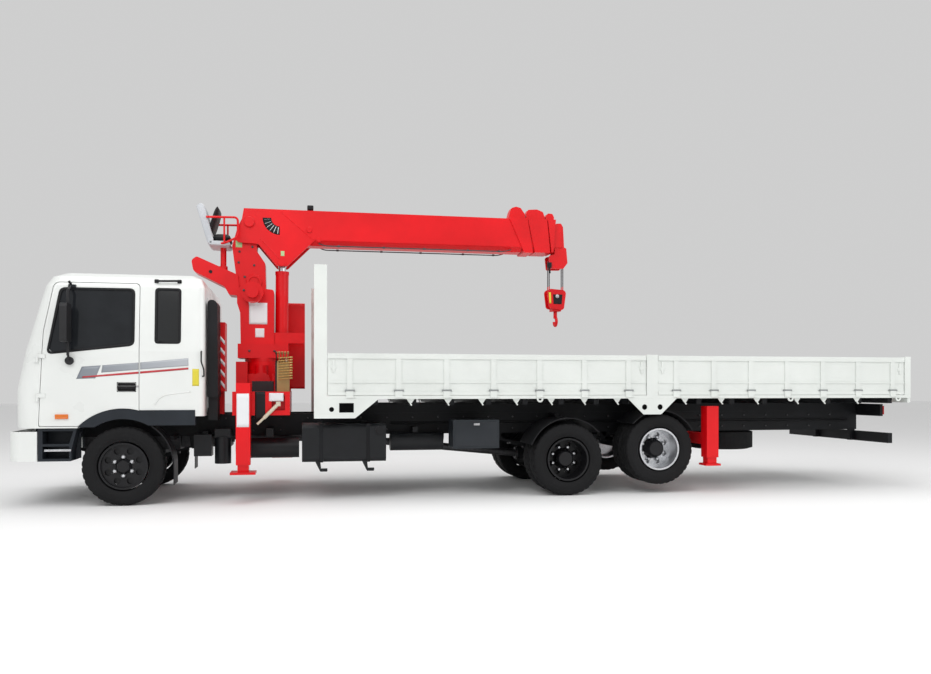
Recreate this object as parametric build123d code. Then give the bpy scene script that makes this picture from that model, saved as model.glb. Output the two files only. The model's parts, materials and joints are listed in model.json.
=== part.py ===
from build123d import *

import os
from math import cos, radians, sin, sqrt

# Cargo truck with a stiff telescopic boom crane behind its cab
# Lengths are in millimetres: X points forward, Y to the truck's left and Z up from the ground
# A station is a distance behind the front axle, so stations ahead of that axle are negative

# Driving sizes of the truck
FRONT_OVERHANG = 1160
REAR_END = 9370
WHEELBASE = 4900
TAG_SPREAD = 1130
BED_HALF_WIDTH = 1200
CAB_HALF_WIDTH = 1100
SEAT_GAP = 0.3
RUNNING_GAP = 0.5

# Wheels
TYRE_RADIUS = 419
TYRE_WIDTH = 245
TYRE_TREAD = 206
TYRE_BEAD = 90
TYRE_LIP = 8
TYRE_BULGE_LIFT = 22
TYRE_FACETS = 40
RIM_RADIUS = 248
RIM_WALL = 12
RIM_DISC = 14
HUB_RADIUS = 105
DRUM_RADIUS = 205
DRUM_DEPTH = 92
DRUM_GAP = 16
FRONT_TYRE_OUTER = 1085
REAR_TYRE_OUTER = 1150
DUAL_SPACING = 275
TAG_LIFT = 105
HAND_HOLE_RADIUS = 34
HAND_HOLE_CIRCLE = 170

# Axles, knuckles and springs
KINGPIN_SIDE = 862
KINGPIN_RADIUS = 22
SPINDLE_RADIUS = 38
AXLE_BEAM_HEIGHT = 100
AXLE_BEAM_WIDTH = 90
AXLE_DROP = 60
HOUSING_RADIUS = 65
BANJO_RADIUS = 205
BANJO_NOSE = 330
GEARBOX_END = 1040
GEARBOX_HEIGHT = 675
BEARING_STATION = 2555
BEARING_HEIGHT = 620
SPRING_WIDTH = 80
SPRING_THICKNESS = 70
FRONT_SPRING_HALF = 640
REAR_SPRING_HALF = 680
TAG_SPRING_HALF = 420

# Frame
FRAME_TOP = 950
FRAME_DEPTH = 250
FRAME_HALF_WIDTH = 425
FRAME_FLANGE = 75
FRAME_WEB = 10
FRAME_FRONT = -1040
FRAME_REAR = 9150
CROSSMEMBER_WIDTH = 110
CROSSMEMBER_HEIGHT = 160
CROSSMEMBER_WALL = 10

# Front bumper
BUMPER_LOW = 484
BUMPER_TOP = 795
BUMPER_REAR = -842
BUMPER_SKIN = 20
BUMPER_HALF = 1090

# Cab
CAB_FRONT = -1100
CAB_REAR = 832
CAB_BOTTOM = 830
CAB_REAR_BOTTOM = 948
CAB_BELT = 1640
CAB_WALL = 30
CAB_CROWN = 34
CAB_FLOOR = 1050
CAB_FLOOR_THICKNESS = 20
CAB_TUNNEL_HALF = 790
CAB_SILL_HALF = 1040
TRIM_TOP = 1015
TRIM_BOTTOM = 852
TRIM_CLEARANCE = 10
TRIM_REAR = 736
MIRROR_STATION = -522
MIRROR_OUT = 70
MIRROR_LOW = 1535
MIRROR_HIGH = 2322
MIRROR_HIGH_INSET = 63.5
MIRROR_LOW_INSET = 2.3
ARCH_INNER = 504
ARCH_OUTER = 609
PIVOT_STATION = -1090
PIVOT_HEIGHT = 745
PIVOT_TUBE_RADIUS = 22
PIVOT_EYE_RADIUS = 30
DOOR_FRONT = -828
DOOR_REAR = 168
DOOR_TOP = 2368
DOOR_BOTTOM = 846
DOOR_THICKNESS = 48
DOOR_GAP = 6
DOOR_HINGE_STATION = -834
DOOR_HINGE_SIDE = 1112
DOOR_HINGE_RADIUS = 11
DOOR_HINGE_HALF = 45
DOOR_STRAP = 75
DOOR_HINGE_HEIGHTS = (1150, 1560)
GLASS_THICKNESS = 6
GRILLE_SLOTS = 5
GRILLE_LOW = 950
GRILLE_PITCH = 66
GRILLE_SLOT = 40
GRILLE_HALF = 560
GRILLE_DEPTH = 16
HANDLE_DEPTH = 22

# Crane
SLEW_STATION = 1420
SLEW_HEIGHT = 1575
COLLAR_RADIUS = 230
TURNTABLE_HALF = 235
BASE_FRONT = 1113
BASE_REAR = 1730
BASE_TOP = 1304
BOOM_BOTTOM = 2978
BOOM_DEPTH = 415
BOOM_WIDTH = 320
BOOM_WALL = 8
BOOM_STEP = 7
BOOM_CHAMFER = 60
BOOM_ROOT = 1182
BOOM_MOUTH = 4600
MOUTH_COLLAR = [(4440, 3389), (4468, 3500, 15), (4490, 3548, 20), (4547, 3566, 30), (4607, 3552, 20), (4658, 3480, 15), (4742, 2966), (4628, 2966)]
SECOND_COLLAR = [(4684, 3380), (4684, 3482, 15), (4708, 3534, 20), (4825, 3543, 30), (4905, 3513, 25), (4926, 3455, 15), (4972, 2974), (4772, 2974)]
THIRD_COLLAR = [(4943, 3400), (4943, 3455, 10), (4971, 3498, 20), (5032, 3494, 20), (5054, 3448, 15), (5040, 3300), (5016, 2981), (4990, 2981)]
SECOND_MOUTH = 4936
THIRD_MOUTH = 5012
HEAD_END = 5140
FOOT_PIN_STATION = 1245
FOOT_PIN_HEIGHT = 3230
FOOT_PIN_RADIUS = 35
LUFF_TOP_STATION = 1627
LUFF_TOP_HEIGHT = 2764
LUFF_LOW_STATION = 1618
LUFF_LOW_HEIGHT = 1780
LUFF_POCKET_FLOOR = 1690
LUFF_BARREL_RADIUS = 78
LUFF_BARREL_LENGTH = 885
LUFF_ROD_RADIUS = 45
LUFF_BOSS_RADIUS = 48
LUFF_EYE_HALF = 80
LUFF_PIN_HALF = 118
LUFF_PIN_RADIUS = 28
SEAT_STATION = 935
SEAT_POST_FOOT = 2712
HOOK_AXIS_STATION = 5088
HOOK_AXIS_HEIGHT = 2895
HOOK_SHEAVE_HEIGHT = 2430
SHEAVE_GROOVE = 84
ROPE_RADIUS = 7

# Outriggers
LEG_WIDTH = 150
LEG_CENTRE = 1112
LEG_TOP = 1304
REAR_LEG_TOP = 1033
LEG_BOTTOM = 420
JACK_BAR = 12
FOOT_HEIGHT = 322
FRONT_BEAM_STATION = 1238
REAR_BEAM_STATION = 1605
BEAM_CLEARANCE = 6
BEAM_WIDTH = 130
BEAM_LOW = 1010
BEAM_HIGH = 1170
BASE_HALF = 1020
REAR_LEG_STATION = 6683

# Controls
LEVERS = 5
LEVER_PITCH = 32

# Spare wheel
SPARE_STATION = 7395
SPARE_HEIGHT = 570
SPARE_DISC = 10

LAMP_BAR_REAR = 9190

# Bed
BED_FRONT = 1989
POST_WIDTH = 140
BED_FLOOR_BOTTOM = 1128
BED_FLOOR_THICKNESS = 36
GATE_TOP = 1632
GATE_THICKNESS = 38
GATE_GAP = 6
DECK_HALF = 1125
DECK_LIFT = 4
DECK_INSET = 40
HINGE_OUT = 7
HINGE_DROP = 18
HINGE_RADIUS = 6.5
HINGE_STRAP = 7
HINGE_LUG = 22
HINGE_HALF = 40
MID_POST_STATION = 5842
MID_POST_WIDTH = 138
REAR_POST_WIDTH = 80
FRONT_STILE_PITCH = 540
ROPE_HOOK_INSET = 24
ROPE_HOOK_STATIONS = (3050, 3473, 3864, 4266, 4680, 5079, 5482, 6333, 6800, 7268, 7801, 8164, 8619)
REAR_STILE_PITCH = 482

FRONT_AXLE_X = (REAR_END - FRONT_OVERHANG) / 2
AXLE_HEIGHT = TYRE_RADIUS
TAG_HEIGHT = AXLE_HEIGHT + TAG_LIFT
TAG_STATION = WHEELBASE + TAG_SPREAD
FRAME_BOTTOM = FRAME_TOP - FRAME_DEPTH
BOOM_TOP = BOOM_BOTTOM + BOOM_DEPTH
BED_TOP = BED_FLOOR_BOTTOM + BED_FLOOR_THICKNESS
GATE_BOTTOM = BED_TOP + GATE_GAP
HINGE_HEIGHT = BED_TOP - HINGE_DROP
BED_END = REAR_END - HINGE_RADIUS - HINGE_OUT


def at(station):
    """The X of a station behind the front axle."""
    return FRONT_AXLE_X - station


def block(s0, s1, y0, y1, z0, z1):
    """A box between two stations, two sides and two heights."""
    middle = ((at(s0) + at(s1)) / 2, (y0 + y1) / 2, (z0 + z1) / 2)
    return Pos(*middle) * Box(abs(s1 - s0), abs(y1 - y0), abs(z1 - z0))


def outline(corners, place):
    """A closed face through corners of (a, b) or (a, b, rounding radius)."""
    points = [place(corner[0], corner[1]) for corner in corners]
    radii = [corner[2] if len(corner) > 2 else 0 for corner in corners]
    if any(radii):
        return make_face(FilletPolyline(*points, radius=radii, close=True))
    return make_face(Polyline(*points, close=True))


def side_plate(corners, y0, y1):
    """A plate seen from the side, with corners of (station, height), between two sides."""
    low = min(y0, y1)
    face = outline(corners, lambda s, z: (at(s), low, z))
    return extrude(face, amount=abs(y1 - y0), dir=(0, 1, 0))


def end_plate(corners, s0, s1):
    """A plate seen from the end, with corners of (side, height), between two stations."""
    low = at(max(s0, s1))
    face = outline(corners, lambda y, z: (low, y, z))
    return extrude(face, amount=abs(s1 - s0), dir=(1, 0, 0))


def plan_plate(corners, z0, z1):
    """A plate seen from above, with corners of (station, side), between two heights."""
    low = min(z0, z1)
    face = outline(corners, lambda s, y: (at(s), y, low))
    return extrude(face, amount=abs(z1 - z0), dir=(0, 0, 1))


def rod(start, end, radius):
    """A round bar between two (station, side, height) points."""
    a = Vector(at(start[0]), start[1], start[2])
    b = Vector(at(end[0]), end[1], end[2])
    return Plane(origin=(a + b) / 2, z_dir=b - a) * Cylinder(radius, (b - a).length)


def cross_shaft(station, height, radius, y0, y1):
    """A round bar that runs across the truck."""
    return rod((station, y0, height), (station, y1, height), radius)


def mirrored(shape):
    """The same shape on the truck's other side."""
    return mirror(shape, about=Plane.XZ)


def both_sides(shape):
    """A shape with its mirror image."""
    return [shape, mirrored(shape)]


def turned_ring(profile, station, height):
    """A body turned about a cross axis, from corners of (side, radius)."""
    points = [(at(station), y, height + r) for y, r in profile]
    face = make_face(Polyline(*points, close=True))
    axis = Axis((at(station), 0, height), (0, 1, 0))
    return revolve(face, axis=axis, revolution_arc=360)


def save(name, *pieces):
    """Writes one node from its pieces."""
    solids = []
    for piece in pieces:
        members = piece if isinstance(piece, (list, tuple)) else [piece]
        for member in members:
            solids.extend(member.solids())
    export_step(Compound(children=solids), f"parts/{name}.step")
    print(name, len(solids))


# Wheels


def wheel_polygon(station, height, side, inner_radius):
    """A many-sided face about a wheel's axis, whose flats lie at a radius."""
    corner = inner_radius / cos(radians(180 / TYRE_FACETS))
    points = []
    for index in range(TYRE_FACETS):
        angle = radians(360 * index / TYRE_FACETS)
        points.append((at(station) + corner * cos(angle), side, height + corner * sin(angle)))
    return make_face(Polyline(*points, close=True))


def tyre(station, height, outer_side):
    """A tyre in flat facets: two sidewalls that bulge, a shoulder each side and the tread."""
    middle = outer_side - TYRE_WIDTH / 2
    sidewall = (RIM_RADIUS + TYRE_RADIUS) / 2 + TYRE_BULGE_LIFT
    tread = TYRE_RADIUS * cos(radians(180 / TYRE_FACETS))
    profile = [
        (-TYRE_BEAD, RIM_RADIUS + TYRE_LIP),
        (-TYRE_WIDTH / 2, sidewall),
        (-TYRE_TREAD / 2, tread),
        (TYRE_TREAD / 2, tread),
        (TYRE_WIDTH / 2, sidewall),
        (TYRE_BEAD, RIM_RADIUS + TYRE_LIP),
    ]
    sections = [wheel_polygon(station, height, middle + side, radius) for side, radius in profile]
    form = loft(sections, ruled=True)
    bore = wheel_polygon(station, height, middle - TYRE_WIDTH, RIM_RADIUS + SEAT_GAP)
    return form - extrude(bore, amount=2 * TYRE_WIDTH, dir=(0, 1, 0))


def rim_profile(outer_side, disc_side, bore):
    """Half section of a rim: its barrel, its two flanges and the disc that carries it."""
    outer = outer_side - 18
    inner = outer_side - TYRE_WIDTH + 18
    top = RIM_RADIUS
    low = RIM_RADIUS - RIM_WALL
    return [
        (outer, top),
        (outer, low - 8),
        (disc_side + RIM_DISC, low - 8),
        (disc_side + RIM_DISC, bore),
        (disc_side, bore),
        (disc_side, low),
        (inner, low),
        (inner, top),
    ]


def hand_holes(station, height, y0, y1, count):
    """Cutters for the ring of hand holes in a wheel's disc."""
    cutters = []
    for index in range(count):
        angle = radians(360 * (index + 0.5) / count)
        cutters.append(
            cross_shaft(
                station + HAND_HOLE_CIRCLE * cos(angle),
                height + HAND_HOLE_CIRCLE * sin(angle),
                HAND_HOLE_RADIUS,
                y0,
                y1,
            )
        )
    return cutters


def front_wheel():
    """The left front tyre and its rim with the hub and the brake drum."""
    disc = FRONT_TYRE_OUTER - 62
    rim = turned_ring(rim_profile(FRONT_TYRE_OUTER, disc, SPINDLE_RADIUS + RUNNING_GAP), 0, AXLE_HEIGHT)
    hub = turned_ring(
        [
            (disc - DRUM_DEPTH, SPINDLE_RADIUS + RUNNING_GAP),
            (disc - DRUM_DEPTH, DRUM_RADIUS),
            (disc - DRUM_GAP, DRUM_RADIUS),
            (disc - DRUM_GAP, HUB_RADIUS + 20),
            (disc, HUB_RADIUS + 20),
            (disc + RIM_DISC, HUB_RADIUS - 20),
            (disc + 45, 70),
            (disc + 60, 60),
            (disc + 60, 0),
            (disc + 30, 0),
            (disc + 30, SPINDLE_RADIUS + RUNNING_GAP),
        ],
        0,
        AXLE_HEIGHT,
    )
    rim = rim + hub
    for cutter in hand_holes(0, AXLE_HEIGHT, disc - 5, disc + RIM_DISC + 5, 8):
        rim = rim - cutter
    return tyre(0, AXLE_HEIGHT, FRONT_TYRE_OUTER), rim


def twin_wheel(station, height):
    """A left pair of twin tyres, and their two rims joined at the hub."""
    inner_outer = REAR_TYRE_OUTER - DUAL_SPACING
    joint = REAR_TYRE_OUTER - (TYRE_WIDTH + DUAL_SPACING) / 2
    bore = SPINDLE_RADIUS + RUNNING_GAP
    outer_rim = turned_ring(rim_profile(REAR_TYRE_OUTER, joint, bore), station, height)
    inner_rim = turned_ring(
        [
            (joint, bore),
            (joint - RIM_DISC, bore),
            (joint - RIM_DISC, RIM_RADIUS - RIM_WALL - 8),
            (inner_outer - TYRE_WIDTH + 18, RIM_RADIUS - RIM_WALL - 8),
            (inner_outer - TYRE_WIDTH + 18, RIM_RADIUS),
            (inner_outer - 18, RIM_RADIUS),
            (inner_outer - 18, RIM_RADIUS - RIM_WALL),
            (joint, RIM_RADIUS - RIM_WALL),
        ],
        station,
        height,
    )
    hub = turned_ring(
        [
            (joint - DRUM_DEPTH, bore),
            (joint - DRUM_DEPTH, DRUM_RADIUS),
            (joint - RIM_DISC - DRUM_GAP, DRUM_RADIUS),
            (joint - RIM_DISC - DRUM_GAP, HUB_RADIUS + 15),
            (joint + RIM_DISC, HUB_RADIUS + 15),
            (joint + RIM_DISC + 10, HUB_RADIUS),
            (joint + 120, HUB_RADIUS - 8),
            (joint + 140, HUB_RADIUS - 25),
            (joint + 140, 0),
            (joint + 100, 0),
            (joint + 100, bore),
        ],
        station,
        height,
    )
    rims = outer_rim + inner_rim + hub
    for cutter in hand_holes(station, height, joint - RIM_DISC - 5, joint + RIM_DISC + 5, 8):
        rims = rims - cutter
    tyres = [tyre(station, height, REAR_TYRE_OUTER), tyre(station, height, inner_outer)]
    return tyres, rims


# Axles


def front_axle():
    """The dropped front beam, with a kingpin eye at each end."""
    half = KINGPIN_SIDE
    low = AXLE_HEIGHT - AXLE_DROP - AXLE_BEAM_HEIGHT / 2
    high = AXLE_HEIGHT - AXLE_DROP + AXLE_BEAM_HEIGHT / 2
    ends_low = AXLE_HEIGHT - 48
    ends_high = AXLE_HEIGHT + 48
    corners = [
        (-half, ends_low),
        (-half + 150, ends_low, 30),
        (-half + 260, low, 60),
        (half - 260, low, 60),
        (half - 150, ends_low, 30),
        (half, ends_low),
        (half, ends_high),
        (half - 150, ends_high, 30),
        (half - 280, high, 60),
        (-half + 280, high, 60),
        (-half + 150, ends_high, 30),
        (-half, ends_high),
    ]
    beam = end_plate(corners, -AXLE_BEAM_WIDTH / 2, AXLE_BEAM_WIDTH / 2)
    for side in (-1, 1):
        y = side * half
        beam = beam + rod((0, y, ends_low), (0, y, ends_high), AXLE_BEAM_WIDTH / 2)
        beam = beam - rod((0, y, ends_low - 5), (0, y, ends_high + 5), KINGPIN_RADIUS + RUNNING_GAP)
    return beam


def knuckle():
    """The left steering knuckle: a fork on its kingpin, and the spindle for the hub."""
    y = KINGPIN_SIDE
    fork = block(-42, 42, y - 40, y + 62, AXLE_HEIGHT - 96, AXLE_HEIGHT + 96)
    gap = block(-60, 60, y - 60, y + 48, AXLE_HEIGHT - 50, AXLE_HEIGHT + 50)
    pin = rod((0, y, AXLE_HEIGHT - 90), (0, y, AXLE_HEIGHT + 90), KINGPIN_RADIUS)
    spindle = cross_shaft(0, AXLE_HEIGHT, SPINDLE_RADIUS, y + 55, FRONT_TYRE_OUTER - 62 + 29)
    return fork - gap + pin + spindle


def beam_axle(station, height, banjo):
    """A straight rear axle with a spindle at each end."""
    joint = REAR_TYRE_OUTER - (TYRE_WIDTH + DUAL_SPACING) / 2
    shoulder = joint - 112
    axle = cross_shaft(station, height, HOUSING_RADIUS, -shoulder, shoulder)
    axle = axle + cross_shaft(station, height, SPINDLE_RADIUS, -joint - 98, joint + 98)
    if banjo:
        bowl = turned_ring([(-90, 0), (-90, 90), (-40, BANJO_RADIUS), (40, BANJO_RADIUS), (90, 90), (90, 0)], 0, 0)
        bowl = Pos(at(station) - at(0), 0, height) * bowl
        nose = rod((station, 0, height), (station - BANJO_NOSE, 0, height), 85)
        axle = axle + bowl + nose
    return axle


def leaf_spring(station, seat_height, half_length, rise):
    """A left leaf pack that bows down to its seat on the axle, with a hanger at each end."""
    y = FRAME_HALF_WIDTH - SPRING_WIDTH / 2
    low = seat_height
    pieces = None
    for index in range(3):
        reach = half_length * (1 - 0.24 * index)
        lift = rise * (reach / half_length) ** 2
        t = SPRING_THICKNESS / 3
        base = low + t * (2 - index)
        top_line = ThreePointArc(
            (at(station - reach), y - SPRING_WIDTH / 2, base + lift + t),
            (at(station), y - SPRING_WIDTH / 2, base + t),
            (at(station + reach), y - SPRING_WIDTH / 2, base + lift + t),
        )
        low_line = ThreePointArc(
            (at(station + reach), y - SPRING_WIDTH / 2, base + lift),
            (at(station), y - SPRING_WIDTH / 2, base),
            (at(station - reach), y - SPRING_WIDTH / 2, base + lift),
        )
        face = make_face([top_line, Line(top_line @ 1, low_line @ 0), low_line, Line(low_line @ 1, top_line @ 0)])
        leaf = extrude(face, amount=SPRING_WIDTH, dir=(0, 1, 0))
        pieces = leaf if pieces is None else pieces + leaf
    for end in (-1, 1):
        s = station + end * half_length
        eye_height = low + SPRING_THICKNESS * 5 / 6 + rise
        hanger = side_plate(
            [(s - 45, FRAME_BOTTOM), (s + 45, FRAME_BOTTOM), (s + 28, eye_height - 30, 20), (s - 28, eye_height - 30, 20)],
            y - SPRING_WIDTH / 2 - 10,
            y + SPRING_WIDTH / 2 + 10,
        )
        pieces = pieces + hanger
    clamp = block(
        station - 80, station + 80, y - SPRING_WIDTH / 2 - 12, y + SPRING_WIDTH / 2 + 12, low - SEAT_GAP, low + SPRING_THICKNESS + 20
    )
    return pieces + clamp


# Frame


def frame():
    """Two channel rails, their crossmembers and the brackets at the front for the cab's pivot."""
    web_face = FRAME_HALF_WIDTH
    rail = block(FRAME_FRONT, FRAME_REAR, web_face - FRAME_FLANGE, web_face, FRAME_BOTTOM, FRAME_TOP)
    hollow = block(
        FRAME_FRONT - 10,
        FRAME_REAR + 10,
        web_face - FRAME_FLANGE - 10,
        web_face - FRAME_WEB,
        FRAME_BOTTOM + FRAME_WEB,
        FRAME_TOP - FRAME_WEB,
    )
    rail = rail - hollow
    bracket = side_plate(
        [
            (FRAME_FRONT + 120, FRAME_BOTTOM),
            (FRAME_FRONT + 120, FRAME_BOTTOM + 90),
            (PIVOT_STATION - 26, FRAME_BOTTOM + 72, 20),
            (PIVOT_STATION - 26, FRAME_BOTTOM + 14, 20),
        ],
        web_face - FRAME_WEB - 20,
        web_face,
    )
    rail = rail + bracket
    chassis = rail + mirrored(rail)
    inner = web_face - FRAME_WEB
    middle = FRAME_BOTTOM + FRAME_DEPTH / 2
    for station in crossmember_stations():
        beam = block(
            station,
            station + CROSSMEMBER_WIDTH,
            -inner,
            inner,
            middle - CROSSMEMBER_HEIGHT / 2,
            middle + CROSSMEMBER_HEIGHT / 2,
        )
        hollow = block(
            station + CROSSMEMBER_WALL,
            station + CROSSMEMBER_WIDTH + 10,
            -inner - 5,
            inner + 5,
            middle - CROSSMEMBER_HEIGHT / 2 + CROSSMEMBER_WALL,
            middle + CROSSMEMBER_HEIGHT / 2 - CROSSMEMBER_WALL,
        )
        chassis = chassis + (beam - hollow)
    pivot = cross_shaft(PIVOT_STATION, PIVOT_HEIGHT, PIVOT_TUBE_RADIUS, -web_face, web_face)
    rest_top = CAB_FLOOR - CAB_FLOOR_THICKNESS - SEAT_GAP
    rest = block(690, 780, web_face - FRAME_FLANGE, web_face, FRAME_TOP - 5, rest_top)
    carrier = rod((SPARE_STATION, 0, SPARE_HEIGHT + SPARE_DISC + RIM_DISC + SEAT_GAP), (SPARE_STATION, 0, middle), 60)
    return chassis + pivot + rest + mirrored(rest) + carrier


def crossmember_stations():
    """The crossmembers: the first ahead of the engine, the others behind the gearbox."""
    return [FRAME_FRONT + 60, 1180, 1640, BEARING_STATION - 55, 3500, 4380, 5400, 6480, SPARE_STATION - 55, 8250, 9030]


def engine():
    """Engine and gearbox as one plain block, on four mounts."""
    body = block(-560, 480, -300, 300, 540, 1000)
    sump = block(-460, 300, -180, 180, 480, 540)
    bell = side_plate([(480, 560), (480, 900), (GEARBOX_END, 790), (GEARBOX_END, 560)], -190, 190)
    mounts = []
    for station in (-420, 330):
        mounts.append(block(station - 50, station + 50, -FRAME_HALF_WIDTH + FRAME_WEB, FRAME_HALF_WIDTH - FRAME_WEB, 770, 830))
    shape = body + sump + bell
    for mount in mounts:
        shape = shape + mount
    return shape


def propshaft():
    """The shaft from the gearbox to the drive axle."""
    start = GEARBOX_END + SEAT_GAP
    end = WHEELBASE - BANJO_NOSE - SEAT_GAP
    front = (start + 10, 0, GEARBOX_HEIGHT)
    rear = (end - 10, 0, AXLE_HEIGHT)
    middle = (BEARING_STATION, 0, BEARING_HEIGHT)
    shaft = rod(front, middle, 45) + rod(middle, rear, 45)
    flanges = rod((start, 0, GEARBOX_HEIGHT), (start + 25, 0, GEARBOX_HEIGHT), 75)
    flanges = flanges + rod((end - 25, 0, AXLE_HEIGHT), (end, 0, AXLE_HEIGHT), 75)
    bearing = rod((BEARING_STATION - 30, 0, BEARING_HEIGHT), (BEARING_STATION + 30, 0, BEARING_HEIGHT), 75)
    crossmember_low = FRAME_BOTTOM + (FRAME_DEPTH - CROSSMEMBER_HEIGHT) / 2
    hanger = block(BEARING_STATION - 25, BEARING_STATION + 25, -50, 50, BEARING_HEIGHT, crossmember_low - SEAT_GAP)
    return shaft + flanges + bearing + hanger


# Wheel covers, tanks and boxes


def arc_guard(station, height, radius, thickness, start, end, y0, y1):
    """A curved guard over a wheel, between two angles in degrees from the rear."""

    def point(r, degrees):
        return (at(station + r * cos(radians(degrees))), y0, height + r * sin(radians(degrees)))

    middle = (start + end) / 2
    outer = ThreePointArc(
        point(radius + thickness, start), point(radius + thickness, middle), point(radius + thickness, end)
    )
    inner = ThreePointArc(point(radius, end), point(radius, middle), point(radius, start))
    face = make_face([outer, Line(outer @ 1, inner @ 0), inner, Line(inner @ 1, outer @ 0)])
    return extrude(face, amount=y1 - y0, dir=(0, 1, 0))


def front_mudguard():
    """The left guard behind the front wheel, on its bracket, with the rubber flap."""
    guard = arc_guard(0, AXLE_HEIGHT, ARCH_INNER, 14, 4, 56, 780, 1080)
    bracket = block(430, 480, FRAME_HALF_WIDTH + SEAT_GAP, 800, FRAME_BOTTOM - 20, FRAME_BOTTOM + 20)
    flap = block(ARCH_INNER + 6, ARCH_INNER + 14, 790, 1075, 215, AXLE_HEIGHT + 60)
    return guard + bracket + flap


def rear_mudguards():
    """The left guards over the drive and tag wheels, on brackets from the frame."""
    inner_side = REAR_TYRE_OUTER - DUAL_SPACING - TYRE_WIDTH - 10
    outer_side = REAR_TYRE_OUTER + 12
    drive = arc_guard(WHEELBASE, AXLE_HEIGHT, 475, 10, 42, 158, inner_side, outer_side)
    tag = arc_guard(TAG_STATION, TAG_HEIGHT, 455, 10, 28, 138, inner_side, outer_side)
    pieces = [drive, tag]
    for station, top in ((WHEELBASE, AXLE_HEIGHT + 480), (TAG_STATION, TAG_HEIGHT + 460)):
        pieces.append(block(station - 25, station + 25, FRAME_HALF_WIDTH + SEAT_GAP, inner_side + 60, top, top + 40))
    return [pieces[0] + pieces[2], pieces[1] + pieces[3]]


def fuel_tank():
    """The left tank with two straps and brackets."""
    corners = [(480, 425, 60), (1020, 425, 60), (1020, 851, 60), (480, 851, 60)]
    tank = end_plate(corners, 1861, 2793)
    brackets = []
    for station in (2040, 2560):
        brackets.append(block(station, station + 60, FRAME_HALF_WIDTH + SEAT_GAP, 480, 600, 860))
        foot = side_plate(
            [(station - 40, 440), (station + 20, 318, 10), (station + 100, 318, 10), (station + 100, 350), (station + 30, 350), (station + 20, 440)],
            940,
            1000,
        )
        brackets.append(foot)
    shape = tank
    for bracket in brackets:
        shape = shape + bracket
    return shape


def left_plant():
    """What hangs under the left rail ahead of the tank: a valve box, a drier, a long tank and its strap."""
    inner = FRAME_HALF_WIDTH + SEAT_GAP
    box = block(680, 870, 530, 740, 490, FRAME_BOTTOM + 30) + block(760, 820, inner, 600, 690, FRAME_BOTTOM + 60)
    drier = rod((985, 640, 400), (985, 640, 700), 90) + block(900, 1070, inner, 700, 690, 790)
    long_tank = rod((1130, 640, 570), (1830, 640, 570), 115) + block(1460, 1540, inner, 640, 660, 790)
    middle_tank = rod((2880, 600, 620), (3500, 600, 620), 105) + block(3150, 3210, inner, 600, 700, 790)
    return box, drier, long_tank, middle_tank


def battery_box():
    """The right box for the batteries, with its brackets."""
    box = block(1900, 2600, -1020, -500, 520, 851)
    bracket = block(2200, 2280, -500, -FRAME_HALF_WIDTH - SEAT_GAP, 700, 851)
    return box + bracket


def tool_box():
    """The slate box ahead of the drive wheels, on its hangers."""
    box = block(3562, 4104, 700, 1010, 554, 883)
    hanger = block(3780, 3880, FRAME_HALF_WIDTH + SEAT_GAP, 700, 760, 820)
    return box + hanger


def air_tanks():
    """Two air tanks under the right rail, on their straps."""
    tanks = []
    for side in (-560, -800):
        tank = rod((3060, side, 640), (3700, side, 640), 110)
        tanks.append(tank)
    strap = block(3200, 3260, -860, -FRAME_HALF_WIDTH - SEAT_GAP, 735, 765)
    return tanks[0] + tanks[1] + strap


def muffler():
    """The silencer under the right rail with its pipe from the engine and its tail."""
    can = rod((2720, -640, 600), (2940, -640, 600), 130)
    pipe = rod((2640, -640, 600), (2720, -640, 600), 45)
    tail = rod((2880, -640, 600), (2880, -900, 560), 40)
    bracket = block(2800, 2860, -640, -FRAME_HALF_WIDTH - SEAT_GAP, 700, 730)
    return can + pipe + tail + bracket


# Front end


def bumper():
    """The bumper's wrapped shell with lamps' openings, on two brackets."""
    outer = plan_plate(
        [
            (BUMPER_REAR, BUMPER_HALF),
            (-FRONT_OVERHANG + CAB_CROWN, BUMPER_HALF, 120),
            (-FRONT_OVERHANG, 0),
            (-FRONT_OVERHANG + CAB_CROWN, -BUMPER_HALF, 120),
            (BUMPER_REAR, -BUMPER_HALF),
        ],
        BUMPER_LOW,
        BUMPER_TOP,
    )
    inner = plan_plate(
        [
            (BUMPER_REAR + 20, BUMPER_HALF - BUMPER_SKIN),
            (-FRONT_OVERHANG + CAB_CROWN + BUMPER_SKIN, BUMPER_HALF - BUMPER_SKIN, 100),
            (-FRONT_OVERHANG + BUMPER_SKIN, 0),
            (-FRONT_OVERHANG + CAB_CROWN + BUMPER_SKIN, BUMPER_SKIN - BUMPER_HALF, 100),
            (BUMPER_REAR + 20, BUMPER_SKIN - BUMPER_HALF),
        ],
        BUMPER_LOW - 10,
        BUMPER_TOP + 10,
    )
    shell = outer - inner
    for side in (-1, 1):
        shell = shell - block(-FRONT_OVERHANG - 20, -FRONT_OVERHANG + 120, side * 620, side * 900, 590, 730)
    arm = block(-FRONT_OVERHANG + 25, -860, FRAME_HALF_WIDTH + SEAT_GAP, 480, 620, 740)
    return shell + arm + mirrored(arm)


def headlamp():
    """The left headlamp in the bumper."""
    gap = SEAT_GAP
    return block(-FRONT_OVERHANG + 8, -FRONT_OVERHANG + 90, 620 + gap, 900 - gap, 590 + gap, 730 - gap)


def step_box():
    """The left entry step: an open box with two treads, below the door."""
    outer = side_plate(
        [(BUMPER_REAR + 5, 484), (-ARCH_INNER - 4, 484, 10), (-ARCH_INNER - 4, 600, 10), (-455, 824), (BUMPER_REAR + 5, 824)],
        770,
        1085,
    )
    low = side_plate([(-790, 510), (-530, 510), (-530, 640), (-790, 640)], 810, 1100)
    high = side_plate([(-790, 665), (-530, 665), (-490, 800), (-790, 800)], 810, 1100)
    arm = block(-760, -700, FRAME_HALF_WIDTH + SEAT_GAP, 775, 710, 770)
    return outer - low - high + arm


# Cab


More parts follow.
